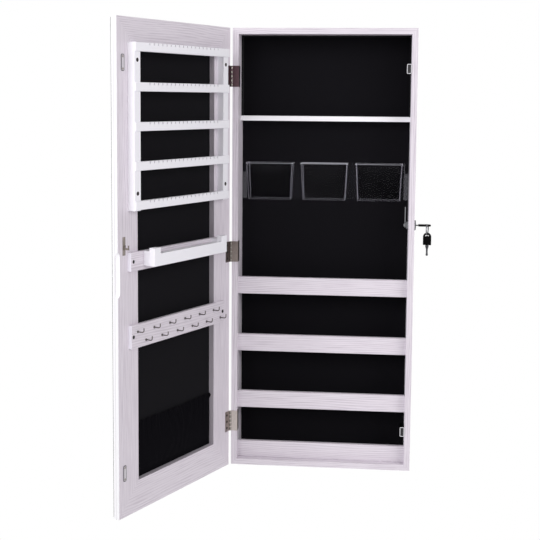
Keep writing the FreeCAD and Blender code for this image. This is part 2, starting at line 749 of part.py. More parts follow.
# The ring hangs from the strip between the eye and the bow's front edge.
stripY = value(f"{LOCK_Y} - (bowWidth + eyeWidth) / 4")
stripX = value(f"{ROSETTE_FACE} + plugStep + collarLong + bowLong - eyeRim - eyeLong / 2")
stripHalf = value("(bowWidth - eyeWidth) / 4")
innerRing = value("ringRadius - ringWire")
drop = math.sqrt((innerRing - value("ringPlay")) ** 2 - stripHalf ** 2) - value("bowThick / 2")
ringCentre = vector(stripX, stripY, value("lockHeight") - drop)
turnAboutUp = FreeCAD.Rotation(UP, -value("ringTurn"))
ring = Part.makeTorus(value("ringRadius"), value("ringWire"), vector(), vector(1, 0, 0))
ring.Placement = FreeCAD.Placement(ringCentre, turnAboutUp)
solidNode("key_ring", ring)

# The spare key hangs tip down, its eye round the lowest point of the ring.
spareTop = ringCentre.z - value("ringRadius") + value("ringWire + ringPlay + eyeRim")
faceForward = FreeCAD.Rotation(UP, 90).multiply(FreeCAD.Rotation(vector(0, 1, 0), -90))
hanging = turnAboutUp.multiply(faceForward)
total = value("bladeLong + collarLong + bowLong")
spareSpot = FreeCAD.Placement(vector(ringCentre.x, ringCentre.y, spareTop - total), hanging)
for name, spot in (("key", keySpot), ("spare_key", spareSpot)):
    for part, shape in (("blade", bladeShape), ("bow", bowShape)):
        piece = shape.copy()
        piece.Placement = spot
        solidNode(f"{name}_{part}", piece)


# ---- door frame, panel and mirror ----

FAR_EDGE = f"({DOOR_EDGE} + doorWidth)"
NEAR_IN, FAR_IN = f"({DOOR_EDGE} + frameWidth)", f"({FAR_EDGE} - frameWidth)"
HIGH_FRAME = "(cabinetHeight - frameWidth)"
doorCorners = {
    "door_stile_hinge": ((DOOR_EDGE, "0"), (NEAR_IN, "frameWidth"), (NEAR_IN, HIGH_FRAME), (DOOR_EDGE, HIGH)),
    "door_stile_free": ((FAR_EDGE, "0"), (FAR_IN, "frameWidth"), (FAR_IN, HIGH_FRAME), (FAR_EDGE, HIGH)),
    "door_rail_bottom": ((DOOR_EDGE, "0"), (NEAR_IN, "frameWidth"), (FAR_IN, "frameWidth"), (FAR_EDGE, "0")),
    "door_rail_top": ((DOOR_EDGE, HIGH), (NEAR_IN, HIGH_FRAME), (FAR_IN, HIGH_FRAME), (FAR_EDGE, HIGH)),
}
doorFrame = {}
for label, points in doorCorners.items():
    doorFrame[label] = makeBody(label, "door")
    plate(doorFrame[label], label + "_blank", "XZ_Plane", points, DOOR_FACE, "frameThick")

freeStile = doorFrame["door_stile_free"]
gripLow, gripHigh = "gripBase + gripRunout", "gripBase + gripLong - gripRunout"
cutCylinder(freeStile, "grip", (FAR_EDGE, DOOR_FACE, gripLow), FreeCAD.Rotation(), "gripRadius",
            "gripLong - 2 * gripRunout")
for name, height in (("grip_low_end", gripLow), ("grip_high_end", gripHigh)):
    primitive(freeStile, "SubtractiveEllipsoid", name, (FAR_EDGE, DOOR_FACE, height), FreeCAD.Rotation(),
              {"Radius1": "gripRunout", "Radius2": "gripRadius", "Radius3": "gripRadius"})
for label, body in doorFrame.items():
    drilled(label, body, doorDrill, rackDrill)

board("door_panel", (NEAR_IN, f"{DOOR_FACE} - frameThick", "frameWidth"),
      ("doorWidth - 2 * frameWidth", "panelThick", "cabinetHeight - 2 * frameWidth"), "door")
MIRROR_FACE = f"({DOOR_FACE} - frameThick - mirrorThick)"
mirror = board("mirror", (f"{DOOR_EDGE} + mirrorInset", MIRROR_FACE, "mirrorInset"),
               ("doorWidth - 2 * mirrorInset", "mirrorThick", "cabinetHeight - 2 * mirrorInset"), "door")
mirrorFace = value(MIRROR_FACE)
softenEdges(mirror, "mirrorEdge", lambda edge: abs(middle(edge).y - mirrorFace) < 0.01, "Chamfer")


# ---- hinges ----

KNUCKLES = 5
EDGE_IN = f"(-{INNER} + leafThick)"
SHEET_START = "(knuckleRadius + leafRelief)"


def hingeLeaf(label, height, frame):
    """One leaf: the sheet, its knuckles with the tabs that carry them, and the bore."""
    body = makeBody(label, frame)
    nodes.remove(body)
    low = f"({height} - hingeTall / 2)"
    if frame == "cabinet":
        x, y, first, play = PIN_X, PIN_Y, 0, "0"
        points = [(f"{x} + {SHEET_START}", f"{FRONT} - leafThick"), (EDGE_IN, f"{FRONT} - leafThick"),
                  (EDGE_IN, f"{FRONT} + leafInward"), (f"-{INNER}", f"{FRONT} + leafInward"),
                  (f"-{INNER}", FRONT), (f"{x} + {SHEET_START}", FRONT)]
        tabY = f"{FRONT} - leafThick"
    else:
        x, y, first, play = "0", "0", 1, "pinPlay"
        points = [(SHEET_START, DOOR_FACE), (f"{DOOR_EDGE} + leafOnDoor", DOOR_FACE),
                  (f"{DOOR_EDGE} + leafOnDoor", f"{DOOR_FACE} + leafThick"),
                  (SHEET_START, f"{DOOR_FACE} + leafThick")]
        tabY = DOOR_FACE
    plate(body, label + "_sheet", "XY_Plane", points, low, "hingeTall")
    for number in range(first, KNUCKLES, 2):
        start = f"{low} + {number} * hingeTall / {KNUCKLES} + knuckleGap / 2"
        tall = f"hingeTall / {KNUCKLES} - knuckleGap"
        addBox(body, f"{label}_tab_{number}", (x, tabY, start), (SHEET_START, "leafThick", tall))
        addCylinder(body, f"{label}_knuckle_{number}", (x, y, start), FreeCAD.Rotation(),
                    "knuckleRadius", tall)
    cutCylinder(body, label + "_bore", (x, y, low), FreeCAD.Rotation(), f"pinRadius + {play}", "hingeTall")
    return body


def group(label, pieces):
    compound = doc.addObject("Part::Compound", label)
    compound.Label = label
    compound.Links = pieces
    nodes.append(compound)
    return compound


cabinetLeaves = [hingeLeaf(f"cabinet_leaf_{name}", height, "cabinet") for name, height in HINGES.items()]
doorLeaves = [hingeLeaf(f"door_leaf_{name}", height, "door") for name, height in HINGES.items()]
drilled("hinge_leaves_cabinet", group("hinge_leaves_cabinet", cabinetLeaves), cabinetDrill)
drilled("hinge_leaves_door", group("hinge_leaves_door", doorLeaves), doorDrill)
pins = []
for name, height in HINGES.items():
    pin = doc.addObject("Part::Cylinder", "pin_" + name)
    bind(pin, Radius="pinRadius", Height="hingeTall", Placement_Base_x=PIN_X, Placement_Base_y=PIN_Y,
         Placement_Base_z=f"{height} - hingeTall / 2 - {HANGER_LINE}")
    pins.append(pin)
group("hinge_pins", pins)


# ---- strikes on the door ----

strikes = []
for name, height in CATCHES.items():
    strike = board("strike_" + name, (STRIKE_X, DOOR_FACE, f"{height} - strikeTall / 2"),
                   ("strikeWide", "strikeThick", "strikeTall"), "door")
    nodes.remove(strike)
    strikes.append(strike)
drilled("catch_strikes", group("catch_strikes", strikes), doorDrill)

lockStrike = board("lock_strike",
                   (f"{TAB_X} + tabThick / 2 - lockStrikeWide / 2", DOOR_FACE, "lockStrikeBase"),
                   ("lockStrikeWide", "strikeThick", "lockStrikeTall"), "door")
addBox(lockStrike, "strike_tab", (TAB_X, DOOR_FACE, "tabTop - tabTall"), ("tabThick", "tabReach", "tabTall"))
notchY = f"{DOOR_FACE} + tabReach - tabFinger - tabNotch"
cutBox(lockStrike, "strike_notch", (TAB_X, notchY, "tabTop - tabNotchDeep"),
       ("tabThick", "tabNotch", "tabNotchDeep"))
drilled("lock_strike", lockStrike, doorDrill)


# ---- earring rack ----

RACK_TOP = f"(rackBase + {RACK_TALL})"
BAR_BACK = f"({DOOR_FACE} + rackStileThick + barProud - barThick)"


def barBase(number):
    return f"({RACK_TOP} - barTall - {number} * barPitch)"


for label, left in (("rack_stile_hinge", RACK_LEFT), ("rack_stile_free", RACK_RIGHT)):
    stile = board(label, (left, DOOR_FACE, "rackBase"),
                  ("rackStileWidth", "rackStileThick", RACK_TALL), "door")
    for number in range(BARS):
        cutBox(stile, f"{label}_seat_{number + 1}", (left, BAR_BACK, barBase(number)),
               ("rackStileWidth", "barThick", "barTall"))
    drilled(label, stile, rackDrill)

for number in range(BARS):
    label = f"earring_bar_{number + 1}"
    bar = board(label, (RACK_LEFT, BAR_BACK, barBase(number)),
                (f"{RACK_RIGHT} + rackStileWidth - {RACK_LEFT}", "barThick", "barTall"), "door")
    face = value(f"{BAR_BACK} + barThick")
    softenEdges(bar, "railRound", lambda e: e.BoundBox.XLength > 50 and abs(middle(e).y - face) < 0.01)
    firstNotch = f"{DOOR_EDGE} + doorWidth / 2 - {NOTCHES - 1} * notchPitch / 2 - notchWidth / 2"
    notch = cutBox(bar, label + "_notch", (firstNotch, BAR_BACK, f"{barBase(number)} + barTall - notchDeep"),
                   ("notchWidth", "barThick", "notchDeep"))
    row = bar.newObject("PartDesign::LinearPattern", label + "_notches")
    row.Originals = [notch]
    row.Direction = (originPlane(bar, "X_Axis"), [""])
    bind(row, Length=f"{NOTCHES - 1} * notchPitch")
    row.Occurrences = NOTCHES
    bar.Tip = row


# ---- bracelet holder ----

braceletBase = board("bracelet_base", (f"{DOOR_EDGE} + baseInset", DOOR_FACE, "baseHeight"),
                     ("doorWidth - 2 * baseInset", "baseThick", "baseTall"), "door")
drilled("bracelet_base", braceletBase, rackDrill)

bracelet = makeBody("bracelet_bar", "door")
left, right = f"({DOOR_EDGE} + braceletInset)", f"({FAR_EDGE} - braceletInset)"
low, high = "(baseHeight + braceletRise)", "(baseHeight + braceletRise + braceletTall)"
dip = f"({high} - braceletDip)"
points = [(left, low), (right, low), (right, high), (f"{right} - braceletEnd", high),
          (f"{right} - braceletEnd", dip), (f"{left} + braceletEnd", dip),
          (f"{left} + braceletEnd", high), (left, high)]
plate(bracelet, "bracelet_front", "XZ_Plane", points, f"{DOOR_FACE} + braceletReach", "braceletThick")
for name, start in (("hinge", f"{left} + armInset"), ("free", f"{right} - armInset - armWide")):
    addBox(bracelet, "bracelet_arm_" + name, (start, f"{DOOR_FACE} + baseThick", low),
           ("armWide", "braceletReach - braceletThick - baseThick + 1", "baseHeight + baseTall - " + low))


# ---- hook board ----

def hookShape(x, z):
    """A cup hook: a wire that leaves the board level and turns up, with a round flange."""
    face = value(f"{DOOR_FACE} + hookBoardThick")
    wire, bend = value("hookWire"), value("hookBend")
    root, reach, rise = value("hookRoot"), value("hookReach"), value("hookRise")
    start = vector(x, face - root, z)
    turn = vector(x, face + reach - bend, z)
    end = vector(x, face + reach, z + bend)
    half = bend * math.sin(math.pi / 4)
    mid = vector(x, face + reach - bend + half, z + bend - half)
    top = vector(x, face + reach, z + rise)
    corner = Part.Arc(turn, mid, end).toShape()
    path = Part.Wire([Part.makeLine(start, turn), corner, Part.makeLine(end, top)])
    section = Part.Wire(Part.makeCircle(wire, start, vector(0, 1, 0)))
    hook = path.makePipeShell([section], True, False)
    toFront = vector(0, 1, 0)
    flange = Part.makeCylinder(value("hookFlange"), value("hookFlangeThick"), vector(x, face, z), toFront)
    return hook.fuse(flange)


hookRows = []
rows = (("hooks_upper", "hookFirstHigh", "hookHigh"), ("hooks_lower", "hookFirstLow", "hookLow"))
for label, first, height in rows:
    places = [value(f"{DOOR_EDGE} + {first} + {number} * hookPitch") for number in range(HOOKS_PER_ROW)]
    row = Part.makeCompound([hookShape(x, value(height)) for x in places])
    hookRows.append(solidNode(label, row, "door"))
hookBoard = board("hook_board", (f"{DOOR_EDGE} + hookBoardInset", DOOR_FACE, "hookBoardBase"),
                  ("doorWidth - 2 * hookBoardInset", "hookBoardThick", "hookBoardTall"), "door")
drilled("hook_board", hookBoard, rackDrill, *hookRows)


# ---- gathered pouch ----

pouchWide = "(doorWidth - 2 * frameWidth)"
pouch = board("pouch", (NEAR_IN, PANEL_FACE, "pouchBase"), (pouchWide, "pouchDeep", "pouchTall"), "door")
pouchFace = value(f"{PANEL_FACE} + pouchDeep")
pouchRim = value("pouchBase + pouchTall")
softenEdges(pouch, "pouchRound", lambda e: abs(middle(e).y - pouchFace) < 0.01 and middle(e).z < pouchRim - 1)
cutBox(pouch, "pouch_inside", (f"{NEAR_IN} + pouchWall", PANEL_FACE, "pouchBase + pouchWall"),
       (f"{pouchWide} - 2 * pouchWall", "pouchDeep - pouchWall", "pouchTall"))


# ---- checks and export ----

doc.recompute()
failed = [item.Label for item in doc.Objects if {"Invalid", "Error"} & set(item.State)]
if failed:
    raise RuntimeError("failed objects: " + ", ".join(failed))
labels = [node.Label for node in nodes]
if len(labels) > 60 or len(set(labels)) != len(labels):
    raise RuntimeError(f"{len(labels)} nodes, {len(set(labels))} names")
for node in nodes:
    if node.Shape.isNull() or not node.Shape.isValid() or node.Shape.Volume <= 0:
        raise RuntimeError("bad shape: " + node.Label)
os.makedirs("parts", exist_ok=True)
for node in nodes:
    node.Shape.exportStep(f"parts/{node.Label}.step")
print(f"{len(nodes)} nodes, {sum(len(node.Shape.Solids) for node in nodes)} solids")
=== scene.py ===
import math
import random
import bmesh
import bpy
from mathutils import Matrix, Vector


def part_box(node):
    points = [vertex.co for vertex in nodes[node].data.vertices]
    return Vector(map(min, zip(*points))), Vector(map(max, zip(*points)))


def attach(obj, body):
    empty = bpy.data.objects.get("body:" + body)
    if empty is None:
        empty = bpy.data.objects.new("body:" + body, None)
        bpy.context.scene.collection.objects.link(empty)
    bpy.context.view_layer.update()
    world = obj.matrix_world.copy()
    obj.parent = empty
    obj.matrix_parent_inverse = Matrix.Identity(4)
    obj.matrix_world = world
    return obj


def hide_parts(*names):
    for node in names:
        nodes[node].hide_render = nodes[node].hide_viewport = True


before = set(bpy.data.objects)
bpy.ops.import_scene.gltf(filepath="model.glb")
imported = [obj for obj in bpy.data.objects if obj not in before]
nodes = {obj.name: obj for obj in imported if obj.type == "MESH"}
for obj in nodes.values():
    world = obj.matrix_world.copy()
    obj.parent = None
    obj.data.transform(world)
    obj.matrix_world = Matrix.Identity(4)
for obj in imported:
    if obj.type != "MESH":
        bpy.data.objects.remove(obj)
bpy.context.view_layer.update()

# Wall-hung jewelry cabinet, its mirror door open. The scene is in metres, the pieces' sizes in mm.
mm = 0.001
hair = 0.01 * mm  # places closer than this are the same
pinX, pinY, floorZ = -0.187, -0.0815, -0.868  # hinge pin in plan, and the cabinet's underside
doorOpen = math.radians(114.5)
doorTurn = Matrix.Translation((pinX, pinY, floorZ)) @ Matrix.Rotation(-doorOpen, 4, "Z")
pinTurned = Matrix.Rotation(doorOpen, 3, "Z") @ Vector((pinX, pinY, 0))


def doorPoint(x, y, z):
    # from mm off the hinge pin and the underside, door closed, to where that point is now
    return doorTurn @ Vector((x * mm, y * mm, z * mm))


def deselect():
    if bpy.context.object and bpy.context.object.mode != "OBJECT":
        bpy.ops.object.mode_set(mode="OBJECT")
    bpy.ops.object.select_all(action="DESELECT")


# camera
view = {
    "place": (0.1178, -2.3400, -0.1107),
    "yaw": 5.796, "pitch": -5.922, "roll": 0.442,  # degrees, from a level look along +Y
    "lens": 74.82, "sensor": 36,
    "shift": (0.0041, -0.10),
}
deselect()
bpy.ops.object.camera_add(location=view["place"])
camera = bpy.context.object
turn = Matrix.Rotation(math.radians(view["yaw"]), 3, "Z")
turn = turn @ Matrix.Rotation(math.radians(90 + view["pitch"]), 3, "X")
turn = turn @ Matrix.Rotation(math.radians(view["roll"]), 3, "Z")
camera.rotation_euler = turn.to_euler()
camera.data.lens = view["lens"]
camera.data.sensor_width = view["sensor"]
camera.data.shift_x, camera.data.shift_y = view["shift"]
bpy.context.scene.camera = camera
bpy.context.scene.view_settings.view_transform = "Standard"
print("camera placed")


# materials
bumpDepth = 0.0002  # of every surface texture


def linear(hexColour):
    parts = [int(hexColour[i:i + 2], 16) / 255 for i in (0, 2, 4)]
    return [p / 12.92 if p <= 0.04045 else ((p + 0.055) / 1.055) ** 2.4 for p in parts] + [1.0]


def addNode(material, kind, settings=None, links=None):
    # settings are attributes, or inputs by name or number; links feed inputs from other outputs
    tree = material.node_tree
    node = tree.nodes.new(kind)
    for name, value in (settings or {}).items():
        if isinstance(name, int) or name in node.inputs.keys():
            node.inputs[name].default_value = value
        else:
            setattr(node, name, value)
    for name, output in (links or {}).items():
        tree.links.new(output, node.inputs[name])
    return node


def newMaterial(name, **surface):
    material = bpy.data.materials.new(name)
    material.use_nodes = True
    shader = material.node_tree.nodes["Principled BSDF"]
    for socket, value in surface.items():
        shader.inputs[socket.replace("_", " ")].default_value = value
    return material, shader


def feed(material, shader, socket, output):
    material.node_tree.links.new(output, shader.inputs[socket])


def coordsFor(material, turnZ=0.0, scale=(1, 1, 1)):
    # object coordinates, turned so that X runs along the door, then stretched
    coords = addNode(material, "ShaderNodeTexCoord").outputs["Object"]
    level = addNode(material, "ShaderNodeMapping", {"Rotation": (0, 0, turnZ)}, {"Vector": coords})
    return addNode(material, "ShaderNodeMapping", {"Scale": scale},
                   {"Vector": level.outputs["Vector"]}).outputs["Vector"]


def maths(material, operation, *terms):
    # each term is a number or another node's output
    numbers = {i: term for i, term in enumerate(terms) if isinstance(term, (int, float))}
    outputs = {i: term for i, term in enumerate(terms) if i not in numbers}
    settings = {"operation": operation, **numbers}
    return addNode(material, "ShaderNodeMath", settings, outputs).outputs[0]


def perMm(*sizes):
    return [1 / (size * mm) for size in sizes]


def alongBoard(along, length, width):
    sizes = [width] * 3
    sizes["XYZ".index(along)] = length
    return perMm(*sizes)


def noiseFor(material, scale, detail, turnZ=0.0, **more):
    return addNode(material, "ShaderNodeTexNoise", {"Scale": 1.0, "Detail": detail, **more},
                   {"Vector": coordsFor(material, turnZ, scale)}).outputs["Fac"]


def roughen(material, shader, height, strength):
    bump = addNode(material, "ShaderNodeBump", {"Strength": strength, "Distance": bumpDepth},
                   {"Height": height})
    feed(material, shader, "Normal", bump.outputs["Normal"])


def rampFor(material, source, stops):
    node = addNode(material, "ShaderNodeValToRGB", links={"Fac": source})
    elements = node.color_ramp.elements
    elements[0].position, elements[0].color = stops[0][0], linear(stops[0][1])
    elements[1].position, elements[1].color = stops[-1][0], linear(stops[-1][1])
    for place, colour in stops[1:-1]:
        elements.new(place).color = linear(colour)
    return node.outputs["Color"]


# PVC foil printed with pale oak grain, pressed on MDF: fine wandering grey lines on lilac white
foilLook = {
    "stops": [(0.32, "C6BDC7"), (0.47, "D6CED7"), (0.66, "DFD8E0")],
    "line": 4.2,            # mm from one grain line to the next
    "wander": 34.0,         # mm the lines drift, into arches
    "arch": (330.0, 75.0),  # mm, an arch's length along the board and its width across
    "fibre": (70.0, 1.5),   # mm, long and wide, drawn as coarse as it needs to show
    "lineShare": 0.10,
    "relief": 0.12, "roughness": 0.42,
}


def foil(name, along, turnZ=0.0, offset=0.0, f=foilLook):
    material, shader = newMaterial(name, Roughness=f["roughness"])
    across = [2 * math.pi / (f["line"] * mm)] * 3
    across["XYZ".index(along)] = 0
    phase = addNode(material, "ShaderNodeVectorMath", {"operation": "DOT_PRODUCT", 1: across},
                    {0: coordsFor(material, turnZ)})
    drift = noiseFor(material, alongBoard(along, *f["arch"]), 1.0, turnZ,
                     noise_dimensions="4D", W=offset)
    bent = maths(material, "MULTIPLY_ADD", drift, 2 * math.pi * f["wander"] / f["line"],
                 phase.outputs["Value"])
    fibre = noiseFor(material, alongBoard(along, *f["fibre"]), 3.0, turnZ, Roughness=0.6)
    grain = maths(material, "MULTIPLY_ADD", maths(material, "SINE", bent), f["lineShare"], fibre)
    feed(material, shader, "Base Color", rampFor(material, grain, f["stops"]))
    roughen(material, shader, grain, f["relief"])
    return material


def finish(name, colour, roughness, mottle, grain, relief, stretch=(1, 1, 1), **surface):
    # a plain finish with faint colour mottle and a fine surface texture, its grain in mm
    material, shader = newMaterial(name, Roughness=roughness, **surface)
    noise = noiseFor(material, [s / (grain * mm) for s in stretch], 3.0)
    dark = [c * (1 - mottle) for c in linear(colour)[:3]] + [1]
    tint = addNode(material, "ShaderNodeMix", {"data_type": "RGBA", 6: dark, 7: linear(colour)},
                   {0: noise})
    feed(material, shader, "Base Color", tint.outputs[2])
    if relief:
        roughen(material, shader, noise, relief)
    return material


# white melamine band ironed on the door's free side, with the frame's glue seam in it
band = {
    "white": [(0.3, "F3F2F5"), (0.7, "F7F6F9")], "seam": "DAD8DD",
    "seamY": (-8.9, -7.9),     # mm in the door's frame
    "ripple": ("Z", 40, 3),    # mm, along and across
    "roughness": 0.36,
}


def endBand(b=band):
    material, shader = newMaterial("white_melamine_band", Roughness=b["roughness"])
    place = addNode(material, "ShaderNodeSeparateXYZ", links={0: coordsFor(material, doorOpen)})
    near, far = [pinTurned.y + y * mm for y in b["seamY"]]
    inSeam = maths(material, "MULTIPLY", maths(material, "GREATER_THAN", place.outputs["Y"], near),
                   maths(material, "LESS_THAN", place.outputs["Y"], far))
    white = rampFor(material, noiseFor(material, alongBoard(*b["ripple"]), 2.0), b["white"])
    tint = addNode(material, "ShaderNodeMix", {"data_type": "RGBA", 7: linear(b["seam"])},
                   {0: inSeam, 6: white})
    feed(material, shader, "Base Color", tint.outputs[2])
    return material


# nickel plate on stamped steel, its colour a painted reflection by height: dark brown on the upper
# hinge, pale on the lowest one
reflectionByHeight = {
    "byHeight": [(0.02, "C0B6B3"), (0.20, "A69B97"), (0.42, "7C726E"), (0.78, "544046")],
    "lift": 0.70,  # metres that bring the cabinet's heights into the ramp
    "patches": (2.2, 2.2, 6), "patchShare": 0.3,
    "relief": 0.15, "roughness": 0.3,
}


def hingeNickel(t=reflectionByHeight):
    material, shader = newMaterial("nickel_plate_painted_reflection", Roughness=t["roughness"], Metallic=1.0)
    place = addNode(material, "ShaderNodeSeparateXYZ", links={0: coordsFor(material)})
    patches = noiseFor(material, perMm(*t["patches"]), 3.0, Roughness=0.6)
    blotch = maths(material, "MULTIPLY_ADD", patches, t["patchShare"], t["lift"])
    shade = maths(material, "ADD", place.outputs["Z"], blotch)
    # painted reflection: the higher the point, the darker the ramp's colour
    feed(material, shader, "Base Color", rampFor(material, shade, t["byHeight"]))
    roughen(material, shader, patches, t["relief"])
    return material


# injection-moulded polystyrene: its walls let nearly all light through, its rims and rounded edges
# are drawn whiter and less clear as painted highlights; seen through by Alpha, as walls this thin
# don't bend what is behind them
polystyrene = {"ior": 1.59, "cloud": 9, "plateCloud": 5, "plateHaze": ("A2A1A9", "BBBAC2"),
               "plateRoughness": 0.22, "tabX": 163.0, "plainOpacity": 0.01, "tabOpacity": 0.17}


def cloudy(material, shader, size, haze):
    cloud = noiseFor(material, perMm(size, size, size), 2.0)
    feed(material, shader, "Base Color", rampFor(material, cloud, [(0.3, haze[0]), (0.7, haze[1])]))


def clearPlastic(name, haze, roughness, opacity, p=polystyrene):
    material, shader = newMaterial(name, Roughness=roughness, IOR=p["ior"], Alpha=opacity)
    cloudy(material, shader, p["cloud"], haze)
    return material


def clearPlate(p=polystyrene):
    # the bins' plate: nearly unseen on the lining, greyer where its ends curl forward as tabs
    material, shader = newMaterial("clear_polystyrene_plate", Roughness=p["plateRoughness"],
                                   IOR=p["ior"])
    place = addNode(material, "ShaderNodeSeparateXYZ", links={0: coordsFor(material)})
    onTab = maths(material, "GREATER_THAN", maths(material, "ABSOLUTE", place.outputs["X"]),
                  p["tabX"] * mm)
    opacity = addNode(material, "ShaderNodeMapRange",
                      {"To Min": p["plainOpacity"], "To Max": p["tabOpacity"]}, {"Value": onTab})
    cloudy(material, shader, p["plateCloud"], p["plateHaze"])
    feed(material, shader, "Alpha", opacity.outputs["Result"])
    return material


look = {
    "foilUp": foil("white_oak_foil_upright", "Z"),
    "foilAcross": foil("white_oak_foil_across", "X"),
    "foilDoorUp": foil("white_oak_foil_door_upright", "Z", doorOpen, 2.0),
    "foilDoorAcross": foil("white_oak_foil_door_across", "X", doorOpen, 4.0),
    # sprayed white lacquer on MDF: brighter and smoother than the foil
    "lacquer": finish("sprayed_white_lacquer", "F5F3F9", 0.34, 0.03, 2.5, 0.05),
    # ABS edge band ironed on the shelf's front: plain satin white
    "edgeBand": finish("white_abs_edge_band", "F4F2F6", 0.38, 0.03, 2.5, 0.04),
    # flocked black lining: short fibres that drink the light, with a faint bloom at the edges
    "flock": finish("black_flock", "111014", 0.95, 0.3, 0.8, 0.4, Specular_IOR_Level=0.08,
                    Sheen_Weight=0.03, Sheen_Roughness=0.5),
    # pressed hardboard: smooth brown with darker fibres
    "hardboard": finish("pressed_hardboard", "A98F6F", 0.7, 0.35, 2.2, 0.25),
    # moulded white ABS
    "whitePlastic": finish("moulded_white_abs", "D6D4D9", 0.38, 0.05, 1.5, 0.06),
    # bare steel pole plate inside the catch: dull mid grey; the same grey is painted shade on the
    # strike plates' sides and groove
    "poleSteelAndShade": finish("bare_steel_sheet_and_painted_shade", "5C5B5F", 0.5, 0.2, 0.9, 0.1, Metallic=0.3),
    # sintered ferrite magnet: dark matte grey
    "ferrite": finish("ferrite_magnet", "2E2D30", 0.6, 0.25, 0.9, 0.2, Metallic=0.4),
    # nickel plate on steel wire and sheet: mid grey with light rubbing marks
    "nickel": finish("nickel_plated_steel", "7C7876", 0.28, 0.22, 1.6, 0.12, (1, 1, 0.25),
                     Metallic=1.0),
    "hingeNickel": hingeNickel(),
    # screws blackened by oxide: nearly black with a dull shine
    "blackScrew": finish("black_oxide_steel", "161415", 0.4, 0.3, 0.8, 0.15, Metallic=0.2),
    # zinc plate on pressed steel: dull bright grey
    "zinc": finish("zinc_plated_steel", "A6A5A8", 0.36, 0.2, 2.0, 0.1, Metallic=1.0),
    # bright zinc on the catches' thin plates: nearly as pale as the foil round them
    "brightZinc": finish("bright_zinc_plated_steel", "CFCAD0", 0.4, 0.12, 2.0, 0.1, Metallic=0.25),
    # brushed nickel on the lock's strike: warm grey
    "strikeNickel": finish("brushed_nickel_plate", "9A918A", 0.38, 0.25, 1.2, 0.12, (1, 1, 0.2),
                           Metallic=0.55),
    # polished chrome plate, its colour darkened as a painted dark reflection
    "chrome": finish("chrome_plate", "8A8B8F", 0.18, 0.3, 2.0, 0.04, Metallic=1.0),
    # the lock's rosette: chrome drawn dark grey as a painted dark reflection
    "rosetteChrome": finish("chrome_plate_painted_dark_reflection", "5C5D60", 0.25, 0.35, 2.4, 0.06, Metallic=1.0),
    # milled steel key: darker than the plated lock, its colour darkened as a painted dark reflection
    "keySteel": finish("milled_steel", "525356", 0.32, 0.2, 0.9, 0.1, Metallic=1.0),
    # moulded glossy black plastic, for the keys' handles; on the catches' case it is painted shade
    "blackPlasticAndShade": finish("moulded_black_plastic_and_painted_shade", "060606", 0.4, 0.2, 0.9, 0.12,
                           Specular_IOR_Level=0.05),
    # the keys' ring: steel wire with a thin dark plate
    "ringSteel": finish("plated_steel_wire", "85868A", 0.25, 0.1, 1.5, 0.04, Metallic=1.0),
    "clear": clearPlastic("clear_polystyrene", ("4B4951", "605E67"), 0.08, 0.008),
    "clearFootHighlight": clearPlastic("clear_polystyrene_foot_painted_highlight", ("BDBAC8", "D4D2DE"), 0.2, 0.09),
    "clearCornerHighlight": clearPlastic("clear_polystyrene_corner_painted_highlight", ("C2BFD2", "DCD9E8"), 0.2, 0.17),
    "clearRimHighlight": clearPlastic("clear_polystyrene_rim_painted_highlight", ("D8D5E4", "F6F4FE"), 0.25, 0.42),
    "clearRimCornerHighlight": clearPlastic("clear_polystyrene_rim_corner_painted_highlight", ("F2F0F8", "FDFCFF"), 0.15, 0.8),
    "clearPlate": clearPlate(),
    # silvered float glass: clean cool reflection; its ground edge is dark grey-green
    "mirror": finish("silvered_glass", "E6ECEC", 0.015, 0.01, 40, 0, Metallic=1.0),
    "mirrorEdge": finish("ground_glass_edge", "262B29", 0.5, 0.3, 1.0, 0.15),
    "endBand": endBand(),
    # plain white melamine, cleaner and smoother than the printed foil: on board ends, and on the
    # cabinet's right inner face, where its brightness is also painted light
    "melamineAndPaintedLight": finish("white_melamine_and_painted_light", "F2EFF8", 0.4, 0.03, 2.5, 0.05),
    # foil round the door opening's inner edges: duller and without print, drawn darker as painted
    # shade
    "foilPaintedShade": finish("white_foil_painted_shade", "BEB6BF", 0.5, 0.05, 2.0, 0.08),
    # nickel drawn bright on the hinge barrels as painted light, beside the painted shade on their
    # other faces
    "nickelPaintedLight": finish("nickel_plate_painted_light", "98938D", 0.3, 0.25, 1.2, 0.12, (1, 1, 0.5),
                           Metallic=0.75),
    # the bored screw seats: brown and dull as raw MDF, darkened further as painted shade
    "mdfAndPaintedShade": finish("bored_mdf_and_painted_shade", "6A6361", 0.8, 0.3, 0.9, 0.2),
    # nickel darkened as painted shade: on the hinge flange in the corner, on the barrels' chamfers
    # and door side, and on the lock strike's tongue
    "nickelPaintedShade": finish("nickel_painted_shade", "2B2325", 0.34, 0.35, 1.4, 0.15, (1, 1, 0.4),
                        Metallic=0.7),
}
bars = [f"earring_bar_{i}" for i in range(1, 6)]
